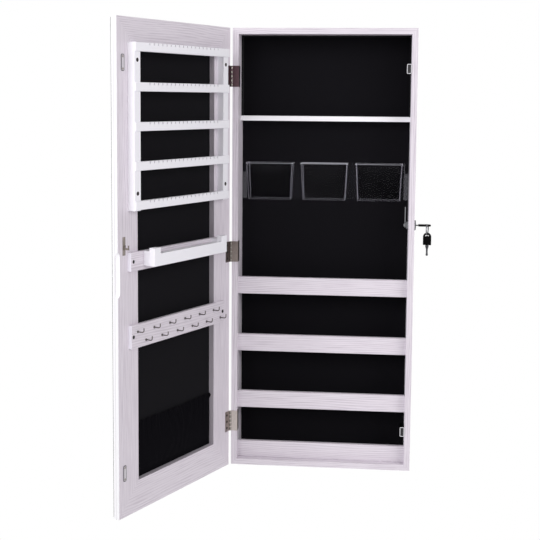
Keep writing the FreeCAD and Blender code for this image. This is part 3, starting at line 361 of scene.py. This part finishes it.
wearing = {
    "foilUp": ["side_left", "side_right"],
    "foilAcross": ["top_board", "bottom_board", "shelf_rail_1", "shelf_rail_2", "shelf_rail_3",
                   "bottom_rail"],
    "foilDoorUp": ["door_stile_hinge", "door_stile_free"],
    "foilDoorAcross": ["door_rail_top", "door_rail_bottom", "bracelet_base", "hook_board"],
    "lacquer": ["rack_stile_hinge", "rack_stile_free", "bracelet_bar"] + bars,
    "edgeBand": ["upper_shelf"],
    "flock": ["back_lining", "upper_lining", "shelf_floor_1", "shelf_floor_2", "shelf_floor_3",
              "door_panel", "pouch"],
    "hardboard": ["back_panel"],
    "whitePlastic": ["catch_lower", "catch_upper"],
    "ferrite": ["catch_magnets"],
    "nickel": ["hooks_upper", "hooks_lower"],
    "hingeNickel": ["hinge_leaves_cabinet", "hinge_leaves_door", "hinge_pins"],
    "blackScrew": ["rack_screws", "door_screws", "cabinet_screws"],
    "zinc": ["wall_hangers"],
    "brightZinc": ["catch_strikes"],
    "strikeNickel": ["lock_strike"],
    "chrome": ["lock_nut", "lock_plug", "lock_cam", "cam_screw"],
    "rosetteChrome": ["lock_body"],
    "ringSteel": ["key_ring"],
    "keySteel": ["key_blade", "spare_key_blade"],
    "blackPlasticAndShade": ["key_bow", "spare_key_bow"],
    "clear": ["bin_left", "bin_middle", "bin_right"],
    "clearPlate": ["bin_plate"],
    "mirror": ["mirror"],
}
for finishName, wearers in wearing.items():
    for wearer in wearers:
        slots = nodes[wearer].data.materials
        slots.clear()
        slots.append(look[finishName])



def onFaces(name, finishName, isThere):
    # a second finish on the faces that a test of centre (mm) and normal picks; the shape stays
    node = nodes[name].data
    node.materials.append(look[finishName])
    for face in node.polygons:
        if isThere(face.center / mm, face.normal):
            face.material_index = len(node.materials) - 1


def doorSide(test):
    # the same test, with centre and normal in the door's own frame
    back = doorTurn.inverted()
    return lambda centre, normal: test(back @ (centre * mm) / mm, back.to_3x3() @ normal)


# where the second finishes begin: parts of a unit normal, and places in mm
secondary = {
    "facing": 0.9,      # looks one way
    "leaning": 0.15,    # leans that way at all, as in the grip's hollow
    "mirrorFront": 0.8, "seatFront": 0.95,  # the edge and the seats face the front less than this
    "tongueSide": 0.5,  # the tongue's faces with painted shade look sideways less than this
    "freeEdgeX": 325, "flangeX": -173,
    "seatX": {"rack_stile_hinge": 42.5, "rack_stile_free": 331.5},
    "seatHeights": (589.5, 825), "seatRadius": 4.2,
}


def facesRight(centre, normal):
    return normal.x > secondary["facing"]


def facesUp(centre, normal):
    return normal.z > secondary["facing"]


def onFreeEdge(centre, normal):
    return normal.x > secondary["leaning"] and centre.x > secondary["freeEdgeX"]


def inSeat(x):
    centres = [Vector((x, height)) for height in secondary["seatHeights"]]
    return lambda centre, normal: abs(normal.y) < secondary["seatFront"] and any(
        (centre.xz - middle).length < secondary["seatRadius"] for middle in centres)


# painted light: the right side's inner face is drawn brighter than the left's
onFaces("side_right", "melamineAndPaintedLight", lambda centre, normal: normal.x < -secondary["facing"])
onFaces("door_stile_free", "endBand", doorSide(onFreeEdge))
# painted shade on the hinge stile's inner edge; plain white ends on the bracelet base and hook board
for name, finishName in (("bracelet_base", "melamineAndPaintedLight"), ("hook_board", "melamineAndPaintedLight"),
                         ("door_stile_hinge", "foilPaintedShade")):
    onFaces(name, finishName, doorSide(facesRight))
# painted shade on the bottom rail's upper edge
onFaces("door_rail_bottom", "foilPaintedShade", doorSide(facesUp))
onFaces("mirror", "mirrorEdge",
        doorSide(lambda centre, normal: abs(normal.y) < secondary["mirrorFront"]))
# painted shade on the hinge flange along the cabinet's inner wall
onFaces("hinge_leaves_cabinet", "nickelPaintedShade",
        lambda centre, normal: facesRight(centre, normal) and centre.x > secondary["flangeX"])
# painted shade in the rack stiles' bored screw seats
for name, seatX in secondary["seatX"].items():
    onFaces(name, "mdfAndPaintedShade", doorSide(inSeat(seatX)))
# painted shade on the lock strike's tongue
onFaces("lock_strike", "nickelPaintedShade",
        doorSide(lambda centre, normal: centre.y > 0 and abs(normal.x) < secondary["tongueSide"]))
print("materials on", sum(len(wearers) for wearers in wearing.values()), "nodes")


# shapes are made in place, then their transforms are applied
def settle(piece):
    deselect()
    piece.select_set(True)
    bpy.context.view_layer.objects.active = piece
    for modifier in list(piece.modifiers):
        bpy.ops.object.modifier_apply(modifier=modifier.name)
    bpy.ops.object.transform_apply(location=True, rotation=True, scale=True)


def dress(piece, name, body, finishNames, slotName, *replaced):
    piece.name = name
    piece.data.name = name
    for finishName in finishNames:
        piece.data.materials.append(look[finishName])
    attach(piece, body)
    if replaced:
        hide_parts(*replaced)


def extrudeUp(height, widen=(1, 1), centre=(0, 0, 0)):
    # the selected face goes up by height, then is scaled about the centre's X and Y
    bpy.ops.mesh.extrude_region_move(TRANSFORM_OT_translate={"value": (0, 0, height)})
    if widen != (1, 1):
        bpy.ops.transform.resize(value=(widen[0], widen[1], 1), center_override=centre)


def startFrom(add, size, place=(0, 0, 0)):
    # a cube or a plane of this size, left in edit mode
    deselect()
    add(size=1, location=place)
    piece = bpy.context.object
    piece.scale = size
    bpy.ops.object.transform_apply(location=True, rotation=True, scale=True)
    bpy.ops.object.mode_set(mode="EDIT")
    return piece


def pick(piece, kind, isThere):
    # in edit mode, only the vertices, edges or faces that pass the test
    bpy.ops.mesh.select_mode(type=kind)
    bpy.ops.mesh.select_all(action="DESELECT")
    mesh = bmesh.from_edit_mesh(piece.data)
    for item in {"VERT": mesh.verts, "EDGE": mesh.edges, "FACE": mesh.faces}[kind]:
        if isThere(item):
            item.select_set(True)
    if kind == "VERT":
        mesh.select_flush_mode()
    bmesh.update_edit_mesh(piece.data)


def runsAlongY(edge, length):
    # nearly as far along Y as the piece is deep
    return abs(edge.verts[0].co.y - edge.verts[1].co.y) > 0.9 * length


def softEdges(piece, width, segments):
    soft = piece.modifiers.new("soft edges", "BEVEL")
    soft.width, soft.segments = width * mm, segments
    soft.limit_method, soft.angle_limit = "ANGLE", math.radians(50)


def cutAway(piece, cutter):
    cut = piece.modifiers.new("cut", "BOOLEAN")
    cut.operation, cut.object, cut.solver = "DIFFERENCE", cutter, "EXACT"
    settle(piece)
    bpy.data.objects.remove(cutter)


# clear bins: tapered cups with rounded corners and a small lip round the top
cup = {
    "wall": 1.3, "corner": 2.0, "foot": 1.8, "lip": 0.8, "lipTall": 0.9,
    "bottom": (88, 36), "top": (97, 44),
    "reach": 0.3,     # mm that the lip's and the foot's finishes go past them
    "cornerTurn": 0.2, "flat": 0.95,  # parts of a normal, off both sides and straight down
}
cupFinishes = ("clear", "clearFootHighlight", "clearCornerHighlight", "clearRimHighlight", "clearRimCornerHighlight")


def makeBin(name):
    low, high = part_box(name)
    back = (low.x / 2 + high.x / 2, high.y, low.z)
    wide, deep = cup["bottom"]
    neck = (cup["top"][0] - 2 * cup["lip"], cup["top"][1] - cup["lip"])
    shell = startFrom(bpy.ops.mesh.primitive_plane_add, (wide * mm, deep * mm, 1),
                      (back[0], high.y - deep / 2 * mm, low.z))
    bpy.ops.mesh.select_mode(type="FACE")
    bpy.ops.mesh.select_all(action="SELECT")
    bpy.ops.mesh.bevel(offset=cup["corner"] * mm, segments=4, affect="VERTICES")
    extrudeUp(high.z - low.z - cup["lipTall"] * mm, (neck[0] / wide, neck[1] / deep), back)
    extrudeUp(0, (cup["top"][0] / neck[0], cup["top"][1] / neck[1]), back)
    extrudeUp(cup["lipTall"] * mm)
    bpy.ops.mesh.delete(type="FACE")
    bpy.ops.mesh.select_mode(type="EDGE")
    bpy.ops.mesh.select_all(action="SELECT")
    bpy.ops.mesh.normals_make_consistent(inside=False)
    pick(shell, "EDGE", lambda edge: all(vertex.co.z < low.z + hair for vertex in edge.verts))
    bpy.ops.mesh.bevel(offset=cup["foot"] * mm, segments=3, affect="EDGES")
    bpy.ops.object.mode_set(mode="OBJECT")
    thick = shell.modifiers.new("wall", "SOLIDIFY")
    thick.thickness, thick.offset = cup["wall"] * mm, -1
    settle(shell)
    for finishName in cupFinishes:
        shell.data.materials.append(look[finishName])
    footTop = low.z + (cup["foot"] + cup["reach"]) * mm
    lipLow = high.z - (cup["lipTall"] + cup["reach"]) * mm
    for face in shell.data.polygons:  # painted highlights: the lip whitest, the corners and the foot's round less so
        onCorner = min(abs(face.normal.x), abs(face.normal.y)) > cup["cornerTurn"]
        if face.center.z > lipLow:
            highlightFinish = "clearRimCornerHighlight" if onCorner else "clearRimHighlight"
        elif onCorner:
            highlightFinish = "clearCornerHighlight"
        else:
            onFoot = face.center.z < footTop and abs(face.normal.z) < cup["flat"]
            highlightFinish = "clearFootHighlight" if onFoot else "clear"
        face.material_index = cupFinishes.index(highlightFinish)
    bpy.ops.object.shade_smooth_by_angle(angle=math.radians(35))
    return shell


for name in ("bin_left", "bin_middle", "bin_right"):
    dress(makeBin(name), "clear_" + name, "cabinet", [], "clear_plastic", name)
print("bins made")


# magnetic catches: a case drawn black as painted shade on its sides, a pale frame round its mouth,
# and the magnet set back in it
catch = {
    "slim": 1.6, "short": 2.0,  # less than the node across, and at each end
    "corner": 2.0, "rim": 1.4, "setBack": 1.4, "frameDeep": 0.5, "soft": 0.25,
}


def onMouth(face):
    return face.normal.y < -0.9


def makeCatch(name, c=catch):
    low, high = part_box(name)
    low = low + Vector((c["slim"], 0, c["short"])) * mm
    high = high - Vector((0, 0, c["short"])) * mm
    size = high - low
    case = startFrom(bpy.ops.mesh.primitive_cube_add, size, (low + high) / 2)
    pick(case, "EDGE", lambda edge: runsAlongY(edge, size.y))  # from the mouth to the back
    bpy.ops.mesh.bevel(offset=c["corner"] * mm, segments=4, affect="EDGES")
    pick(case, "FACE", onMouth)
    bpy.ops.mesh.inset(thickness=c["rim"] * mm)
    bpy.ops.mesh.extrude_region_move(TRANSFORM_OT_translate={"value": (0, c["setBack"] * mm, 0)})
    bpy.ops.object.mode_set(mode="OBJECT")
    # painted shade: the case's outside is black
    for finishName in ("blackPlasticAndShade", "whitePlastic", "poleSteelAndShade"):
        case.data.materials.append(look[finishName])
    for face in case.data.polygons:
        if onMouth(face):
            face.material_index = 1 if face.center.y < low.y + c["frameDeep"] * mm else 2
    softEdges(case, c["soft"], 2)
    settle(case)
    return case


for name in ("catch_lower", "catch_upper"):
    dress(makeCatch(name), name + "_body", "cabinet", [], "white_plastic", name)
print("catches made")


# turned pieces: (radius, height) pairs in mm, drawn up along Z from the origin
def turned(profile, sides=20, stretch=1.0):
    deselect()
    firstRadius, firstPlace = profile[0]
    bpy.ops.mesh.primitive_circle_add(vertices=sides, radius=firstRadius * mm, fill_type="NGON",
                                      location=(0, 0, firstPlace * stretch * mm))
    piece = bpy.context.object
    bpy.ops.object.mode_set(mode="EDIT")
    bpy.ops.mesh.select_mode(type="FACE")
    bpy.ops.mesh.select_all(action="SELECT")
    for (radius, place), (nextRadius, nextPlace) in zip(profile, profile[1:]):
        extrudeUp((nextPlace - place) * stretch * mm, (nextRadius / radius, nextRadius / radius))
    return piece


def closeUp(piece, sharpFrom=40):
    bpy.ops.object.mode_set(mode="EDIT")
    bpy.ops.mesh.select_all(action="SELECT")
    bpy.ops.mesh.normals_make_consistent(inside=False)
    bpy.ops.object.mode_set(mode="OBJECT")
    settle(piece)
    bpy.ops.object.shade_smooth_by_angle(angle=math.radians(sharpFrom))
    return piece


def copiesOf(piece, places):
    # one joined mesh of copies, each put where a matrix says; the pattern piece goes
    made = []
    for place in places:
        copied = piece.copy()
        copied.data = piece.data.copy()
        bpy.context.scene.collection.objects.link(copied)
        copied.matrix_world = place
        made.append(copied)
    deselect()
    for copied in made:
        copied.select_set(True)
    bpy.context.view_layer.objects.active = made[0]
    bpy.ops.object.join()
    joined = bpy.context.object
    bpy.ops.object.transform_apply(location=True, rotation=True, scale=True)
    bpy.data.objects.remove(piece)
    return joined


# spare key: a round shank with a collar at the handle and a bit at its end, in a moulded handle
key = {
    "shank": [(3.4, 0), (3.4, 3.4), (2.6, 6.2), (1.9, 7.5), (1.8, 15.5), (2.4, 17.5), (2.3, 20),
              (1.1, 21)],
    "wide": 16.8, "thick": 3.6, "turn": -14,  # the handle, turned about the upright
    "eyeTop": 4.0, "eyeRound": 4.3, "eyeThick": 2.4, "lowerRound": 5.4, "round": 0.9,
}


def makeHandle(low, high, k=key):
    # an arch-topped plate with a crescent eye under its top
    wide, thick = k["wide"] * mm, k["thick"] * mm
    middle = (low + high) / 2
    handle = startFrom(bpy.ops.mesh.primitive_cube_add, (wide, thick, high.z - low.z))
    pick(handle, "EDGE", lambda edge: runsAlongY(edge, thick) and edge.verts[0].co.z > 0)
    bpy.ops.mesh.bevel(offset=wide / 2 - hair, segments=12, affect="EDGES")
    bpy.ops.mesh.select_all(action="SELECT")
    bpy.ops.mesh.remove_doubles(threshold=0.05 * mm)
    bpy.ops.object.mode_set(mode="OBJECT")
    softEdges(handle, k["round"], 3)
    settle(handle)
    cutAway(handle, eyeCutter((high.z - low.z) / 2 - k["eyeTop"] * mm, thick))
    bpy.ops.object.shade_smooth_by_angle(angle=math.radians(35))
    aside = Matrix.Rotation(math.radians(k["turn"]), 4, "Z")
    handle.matrix_world = Matrix.Translation(middle) @ aside
    settle(handle)
    return handle


def eyeCutter(top, thick, k=key):
    # a round bar with a larger round taken off its lower side leaves a crescent
    rounds = []
    for radius, drop in ((k["eyeRound"], k["eyeRound"]),
                         (k["lowerRound"], k["eyeThick"] + k["lowerRound"])):
        deselect()
        bpy.ops.mesh.primitive_cylinder_add(
            vertices=40, radius=radius * mm, depth=3 * thick,
            location=(0, 0, top - drop * mm), rotation=(math.pi / 2, 0, 0))
        rounds.append(bpy.context.object)
        settle(rounds[-1])
    crescent, lower = rounds
    cutAway(crescent, lower)
    return crescent


low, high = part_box("spare_key_blade")
middle = (low + high) / 2
shankLong = key["shank"][-1][1] * mm
shank = closeUp(turned(key["shank"], 20, (high.z - low.z) / shankLong))
hangsFrom = Matrix.Translation((middle.x, middle.y, high.z))
shank.matrix_world = hangsFrom @ Matrix.Rotation(math.pi, 4, "X")
settle(shank)
dress(shank, "spare_key_shank", "spare_key", ["keySteel"], "nickel", "spare_key_blade")
low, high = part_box("spare_key_bow")
dress(makeHandle(low, high), "spare_key_handle", "spare_key", ["blackPlasticAndShade"], "black_plastic",
      "spare_key_bow")

# split ring: a wire wound twice round, through both keys' eyes
splitRing = {"radius": 11, "wire": 0.62, "turns": 2, "pitch": 1.3, "steps": 56}


def makeRing(r=splitRing):
    low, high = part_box("key_ring")
    deselect()
    bpy.ops.mesh.primitive_circle_add(vertices=10, radius=r["wire"] * mm,
                                      location=(r["radius"] * mm, 0, 0), rotation=(math.pi / 2, 0, 0))
    ring = bpy.context.object
    bpy.ops.object.transform_apply(location=True, rotation=True, scale=True)
    wound = ring.modifiers.new("wound", "SCREW")
    wound.iterations, wound.screw_offset = r["turns"], r["pitch"] * mm
    wound.steps = wound.render_steps = r["steps"]
    settle(ring)
    bpy.ops.object.mode_set(mode="EDIT")
    bpy.ops.mesh.select_all(action="SELECT")
    bpy.ops.mesh.remove_doubles(threshold=hair)
    bpy.ops.mesh.fill_holes(sides=0)
    ring = closeUp(ring)
    toAxis = Matrix.Rotation(math.radians(key["turn"]), 4, "Z") @ Matrix.Rotation(math.pi / 2, 4, "Y")
    half = Matrix.Translation((0, 0, -r["turns"] * r["pitch"] / 2 * mm))
    ring.matrix_world = Matrix.Translation((low + high) / 2) @ toAxis @ half
    settle(ring)
    return ring


dress(makeRing(), "split_ring", "key_ring", ["ringSteel"], "chrome", "key_ring")
print("keys made")


# hinge barrels: beads round the pin with deep gaps between them, painted bright on their lit faces,
# with painted shade on the door's side and the chamfers
hinge = {
    "heights": (93, 447.5, 803.5), "tall": 42, "knuckles": 5,
    "radius": 2.7, "gap": 1.3, "chamfer": 1.4,
    "chamferTurn": 0.3, "paintedShadeSide": -0.35,  # parts of a normal, up or down and towards the door
}
pitch = hinge["tall"] / hinge["knuckles"]
neck, beadEnd = hinge["radius"] - hinge["chamfer"], pitch / 2 - hinge["gap"] / 2
bead = [(neck, -beadEnd), (hinge["radius"], -beadEnd + hinge["chamfer"]),
        (hinge["radius"], beadEnd - hinge["chamfer"]), (neck, beadEnd)]
for owner, first in (("cabinet", 0), ("door", 1)):
    middles = [height - hinge["tall"] / 2 + (number + 0.5) * pitch
               for height in hinge["heights"] for number in range(first, hinge["knuckles"], 2)]
    spots = [Matrix.Translation((pinX, pinY, floorZ + middle * mm)) for middle in middles]
    barrels = copiesOf(closeUp(turned(bead, 24)), spots)
    # painted light on the barrels' lit faces
    barrels.data.materials.append(look["nickelPaintedLight"])
    barrels.data.materials.append(look["nickelPaintedShade"])
    for face in barrels.data.polygons:  # painted shade on the chamfers and on the side turned to the door
        face.material_index = int(abs(face.normal.z) > hinge["chamferTurn"]
                                  or face.normal.x < hinge["paintedShadeSide"])
    dress(barrels, "hinge_barrels_" + owner, owner, [], "nickel")
print("hinge barrels made")


# door screws: domed heads with a cross recess, three on each hinge leaf and two on each strike
screw = {
    "profile": [(1.2, -9), (1.2, -1.8), (2.9, 0), (2.8, 0.5), (2.1, 1.0), (1.5, 1.15)],
    "sides": 16, "flange": 0.15, "recess": 0.7, "arm": 0.3,
    "hingeX": 11.4, "hingeApart": 13.44, "strikeX": 354.5, "strikeApart": 10.8, "strikes": (82, 820),
    "lockX": 353.7, "lockHeights": (484, 509),
    "hingeSeat": -1.0, "strikeSeat": -1.45,  # how deep each sinks, so that the door still closes
}


def makeScrew(s=screw):
    piece = turned(s["profile"], s["sides"])
    topRadius, top = [size * mm for size in s["profile"][-1]]
    margin = 0.1 * mm

    def offTheArms(vertex):  # the inner ring but its four outermost points, which leave a cross
        nearAxis = min(abs(vertex.co.x), abs(vertex.co.y)) < margin
        return (abs(vertex.co.z - top) < hair and vertex.co.xy.length < topRadius - margin
                and not nearAxis)

    bpy.ops.mesh.inset(thickness=s["flange"] * mm)
    pick(piece, "VERT", offTheArms)
    bpy.ops.transform.resize(value=(s["arm"], s["arm"], 1), center_override=(0, 0, top))
    pick(piece, "FACE", lambda face: abs(face.calc_center_median().z - top) < hair
         and len(face.verts) == s["sides"])
    bpy.ops.mesh.extrude_region_move(TRANSFORM_OT_translate={"value": (0, 0, -s["recess"] * mm)})
    return closeUp(piece, 35)


def onDoor(x, y, z):
    # a matrix that puts a piece drawn up along Z on the door's inner face
    place = doorTurn @ Matrix.Translation((x * mm, y * mm, z * mm))
    return place @ Matrix.Rotation(-math.pi / 2, 4, "X")


places = [onDoor(screw["hingeX"], screw["hingeSeat"], height + step * screw["hingeApart"])
          for height in hinge["heights"] for step in (-1, 0, 1)]
dress(copiesOf(makeScrew(), places), "hinge_screws_door", "door", ["blackScrew"], "nickel",
      "door_screws")
places = [onDoor(screw["strikeX"], screw["strikeSeat"], height + side * screw["strikeApart"])
          for height in screw["strikes"] for side in (-1, 1)]
places += [onDoor(screw["lockX"], screw["strikeSeat"], height) for height in screw["lockHeights"]]
dress(copiesOf(makeScrew(), places), "strike_screws", "door", ["strikeNickel"], "nickel")
print("screws made")


# catch strikes: thin plates with round ends, a pressed groove inside the edge, with painted shade in
# the groove and on the sides
strike = {
    "middleX": 354.5, "wide": 9.0, "tall": 30, "thick": 1.0, "back": -1.5, "heights": (82, 820),
    "corner": 3.2, "border": 0.3, "rim": 0.9, "groove": 0.25,
}


def makeStrike(s=strike):
    plate = startFrom(bpy.ops.mesh.primitive_plane_add, (s["wide"] * mm, s["tall"] * mm, 1))
    bpy.ops.mesh.select_mode(type="FACE")
    bpy.ops.mesh.select_all(action="SELECT")
    bpy.ops.mesh.bevel(offset=s["corner"] * mm, segments=5, affect="VERTICES")
    extrudeUp(s["thick"] * mm)
    bpy.ops.mesh.inset(thickness=s["border"] * mm)
    bpy.ops.mesh.inset(thickness=s["rim"] * mm, depth=-s["groove"] * mm)
    bpy.ops.mesh.inset(thickness=s["border"] * mm, depth=s["groove"] * mm)
    plate = closeUp(plate, 30)
    for finishName in ("brightZinc", "poleSteelAndShade"):
        plate.data.materials.append(look[finishName])
    for face in plate.data.polygons:  # painted shade: the sides and the groove are dark
        inGroove = face.center.z < (s["thick"] - 0.05) * mm and face.normal.z > 0.1
        face.material_index = int(inGroove or abs(face.normal.z) < 0.5)
    return plate


places = [onDoor(strike["middleX"], strike["back"], height) for height in strike["heights"]]
dress(copiesOf(makeStrike(), places), "catch_strike_plates", "door", [], "zinc_steel",
      "catch_strikes")
print("strikes made")


# gathered pouch: one sheet, held at the bottom and sides, drawn in along its top by elastic
pouch = {
    "left": 61.4, "right": 312.6, "low": 59.0, "high": 165.0,  # mm in the door's frame
    "panel": -12.2, "front": 0.1,  # the cloth stays between these Y
    "across": 300, "up": 56, "cloth": 0.6, "cutTall": 112,
    "bulge": 8.0, "sideFall": 0.45, "rise": 0.16,  # swells fast from the sides and the bottom
    "bellyFrom": 0.12, "bellySpan": 0.80, "bellyRound": 0.8,
    "fineFolds": 29, "broadFolds": 11, "fineDepth": 0.9, "broadDepth": 1.3, "foldShare": 0.8,
    "gatherFrom": 0.45, "gatherRound": 1.5, "lowFolds": 0.25,  # folds deepen above this height
    "wander": ((0.02, 7, 5), (0.012, 17, -4)),  # how far, and how fast across and up
    "knot": 4.0, "knotWide": 0.012, "knotAt": 0.95, "knotTall": 0.045,  # at the elastic's ends
    "rimWave": 0.9, "rimSag": 1.4,
}


def clothPoint(u, v, drift, p=pouch):
    # where a point of the cloth lies; u goes across it and v up, both from 0 to 1
    sides = max(0.0, math.sin(math.pi * u)) ** p["sideFall"]
    belly = math.sin(math.pi * min(1.0, p["bellyFrom"] + p["bellySpan"] * v)) ** p["bellyRound"]
    rise = min(1.0, v / p["rise"])
    wander = sum(far * math.sin(across * u + up * v + start)
                 for (far, across, up), start in zip(p["wander"], drift))
    fine = math.sin(2 * math.pi * p["fineFolds"] * (u + wander))
    broad = math.sin(2 * math.pi * p["broadFolds"] * (u + 2 * wander) + drift[2])
    gather = max(0.0, (v - p["gatherFrom"]) / (1 - p["gatherFrom"])) ** p["gatherRound"]
    spread = p["lowFolds"] + (1 - p["lowFolds"]) * gather
    folds = p["fineDepth"] * fine * gather + p["broadDepth"] * broad * spread * rise
    offKnot = (min(u, 1 - u) / p["knotWide"]) ** 2 + ((v - p["knotAt"]) / p["knotTall"]) ** 2
    swell = (p["bulge"] * belly + folds * p["foldShare"]) * sides * rise
    y = p["panel"] + swell + p["knot"] * math.exp(-offKnot)
    rim = (p["rimWave"] * broad - p["rimSag"] * math.sin(math.pi * u)) * gather
    x = p["left"] + (p["right"] - p["left"]) * u
    z = p["low"] + (p["high"] - p["low"]) * v + rim
    return doorPoint(x, min(max(y, p["panel"]), p["front"]), min(z, p["high"]))


def makePouch(p=pouch):
    deselect()
    bpy.ops.mesh.primitive_grid_add(x_subdivisions=p["across"], y_subdivisions=p["up"], size=1)
    cloth = bpy.context.object
    dice = random.Random(4)
    drift = [dice.uniform(0, 6.28) for _ in range(3)]
    for vertex in cloth.data.vertices:
        vertex.co = clothPoint(vertex.co.x + 0.5, vertex.co.y + 0.5, drift)
    bpy.ops.object.mode_set(mode="EDIT")
    bpy.ops.mesh.select_all(action="SELECT")
    bpy.ops.mesh.normals_make_consistent(inside=False)
    bpy.ops.object.mode_set(mode="OBJECT")
    area = sum(face.area for face in cloth.data.polygons)
    thick = cloth.modifiers.new("cloth", "SOLIDIFY")
    thick.thickness, thick.offset = p["cloth"] * mm, 0
    settle(cloth)
    bpy.ops.object.shade_smooth_by_angle(angle=math.radians(60))
    return cloth, area


# woven black nylon: a soft sheen along the folds
look["pouchCloth"] = finish("black_nylon_cloth", "0D0C10", 0.75, 0.3, 0.7, 0.3,
                            Specular_IOR_Level=0.02, Sheen_Weight=0.01, Sheen_Roughness=0.35)
pouchCloth, pouchArea = makePouch()
dress(pouchCloth, "gathered_pouch", "door", ["pouchCloth"], "black_cloth", "pouch")


# light and ground
studio = {
    "ambient": 0.42,
    "lamps": [  # name, place, width, watts
        ("softbox_left", (-1.85, -2.75, 0.9), 1.6, 58),
        ("softbox_right", (2.3, -1.95, 0.75), 2.0, 46),
    ],
    "aim": (0, -0.1, -0.38),
    "floorWide": 14, "floorDrop": 0.62, "floorLook": "F4F3F5", "floorRoughness": 0.9,
}
white = (1, 1, 1, 1)


def seeingRays(owner):
    # 1 for rays from the camera, off a mirror or through glass; 0 for those that carry light only
    path = addNode(owner, "ShaderNodeLightPath").outputs
    seen = maths(owner, "MAXIMUM", path["Is Camera Ray"], path["Is Glossy Ray"])
    return maths(owner, "MAXIMUM", seen, path["Is Transmission Ray"])


for name, place, width, watts in studio["lamps"]:
    deselect()
    bpy.ops.object.light_add(type="AREA", location=place)
    lamp = bpy.context.object
    lamp.name = name
    lamp.data.shape, lamp.data.size, lamp.data.energy = "SQUARE", width, watts
    lamp.rotation_euler = (Vector(studio["aim"]) - Vector(place)).to_track_quat("-Z", "Y").to_euler()

world = bpy.data.worlds.new("studio")
world.use_nodes = True
bpy.context.scene.world = world
strength = addNode(world, "ShaderNodeMapRange", {"To Min": studio["ambient"], "To Max": 1.0},
                   {"Value": seeingRays(world)})
background = world.node_tree.nodes["Background"]
background.inputs["Color"].default_value = white
feed(world, background, "Strength", strength.outputs["Result"])

deselect()
bpy.ops.mesh.primitive_plane_add(size=studio["floorWide"],
                                 location=(0, 0, floorZ - studio["floorDrop"]))
ground = bpy.context.object
ground.name = "ground"
groundLook, groundShader = newMaterial("pale_floor", Roughness=studio["floorRoughness"],
                                       Base_Color=linear(studio["floorLook"]))
glow = addNode(groundLook, "ShaderNodeEmission", {"Color": white, "Strength": 1.0})
mixed = addNode(groundLook, "ShaderNodeMixShader", {},
                {0: seeingRays(groundLook), 1: groundShader.outputs[0], 2: glow.outputs[0]})
feed(groundLook, groundLook.node_tree.nodes["Material Output"], "Surface", mixed.outputs[0])
ground.data.materials.append(groundLook)
print("lights placed")
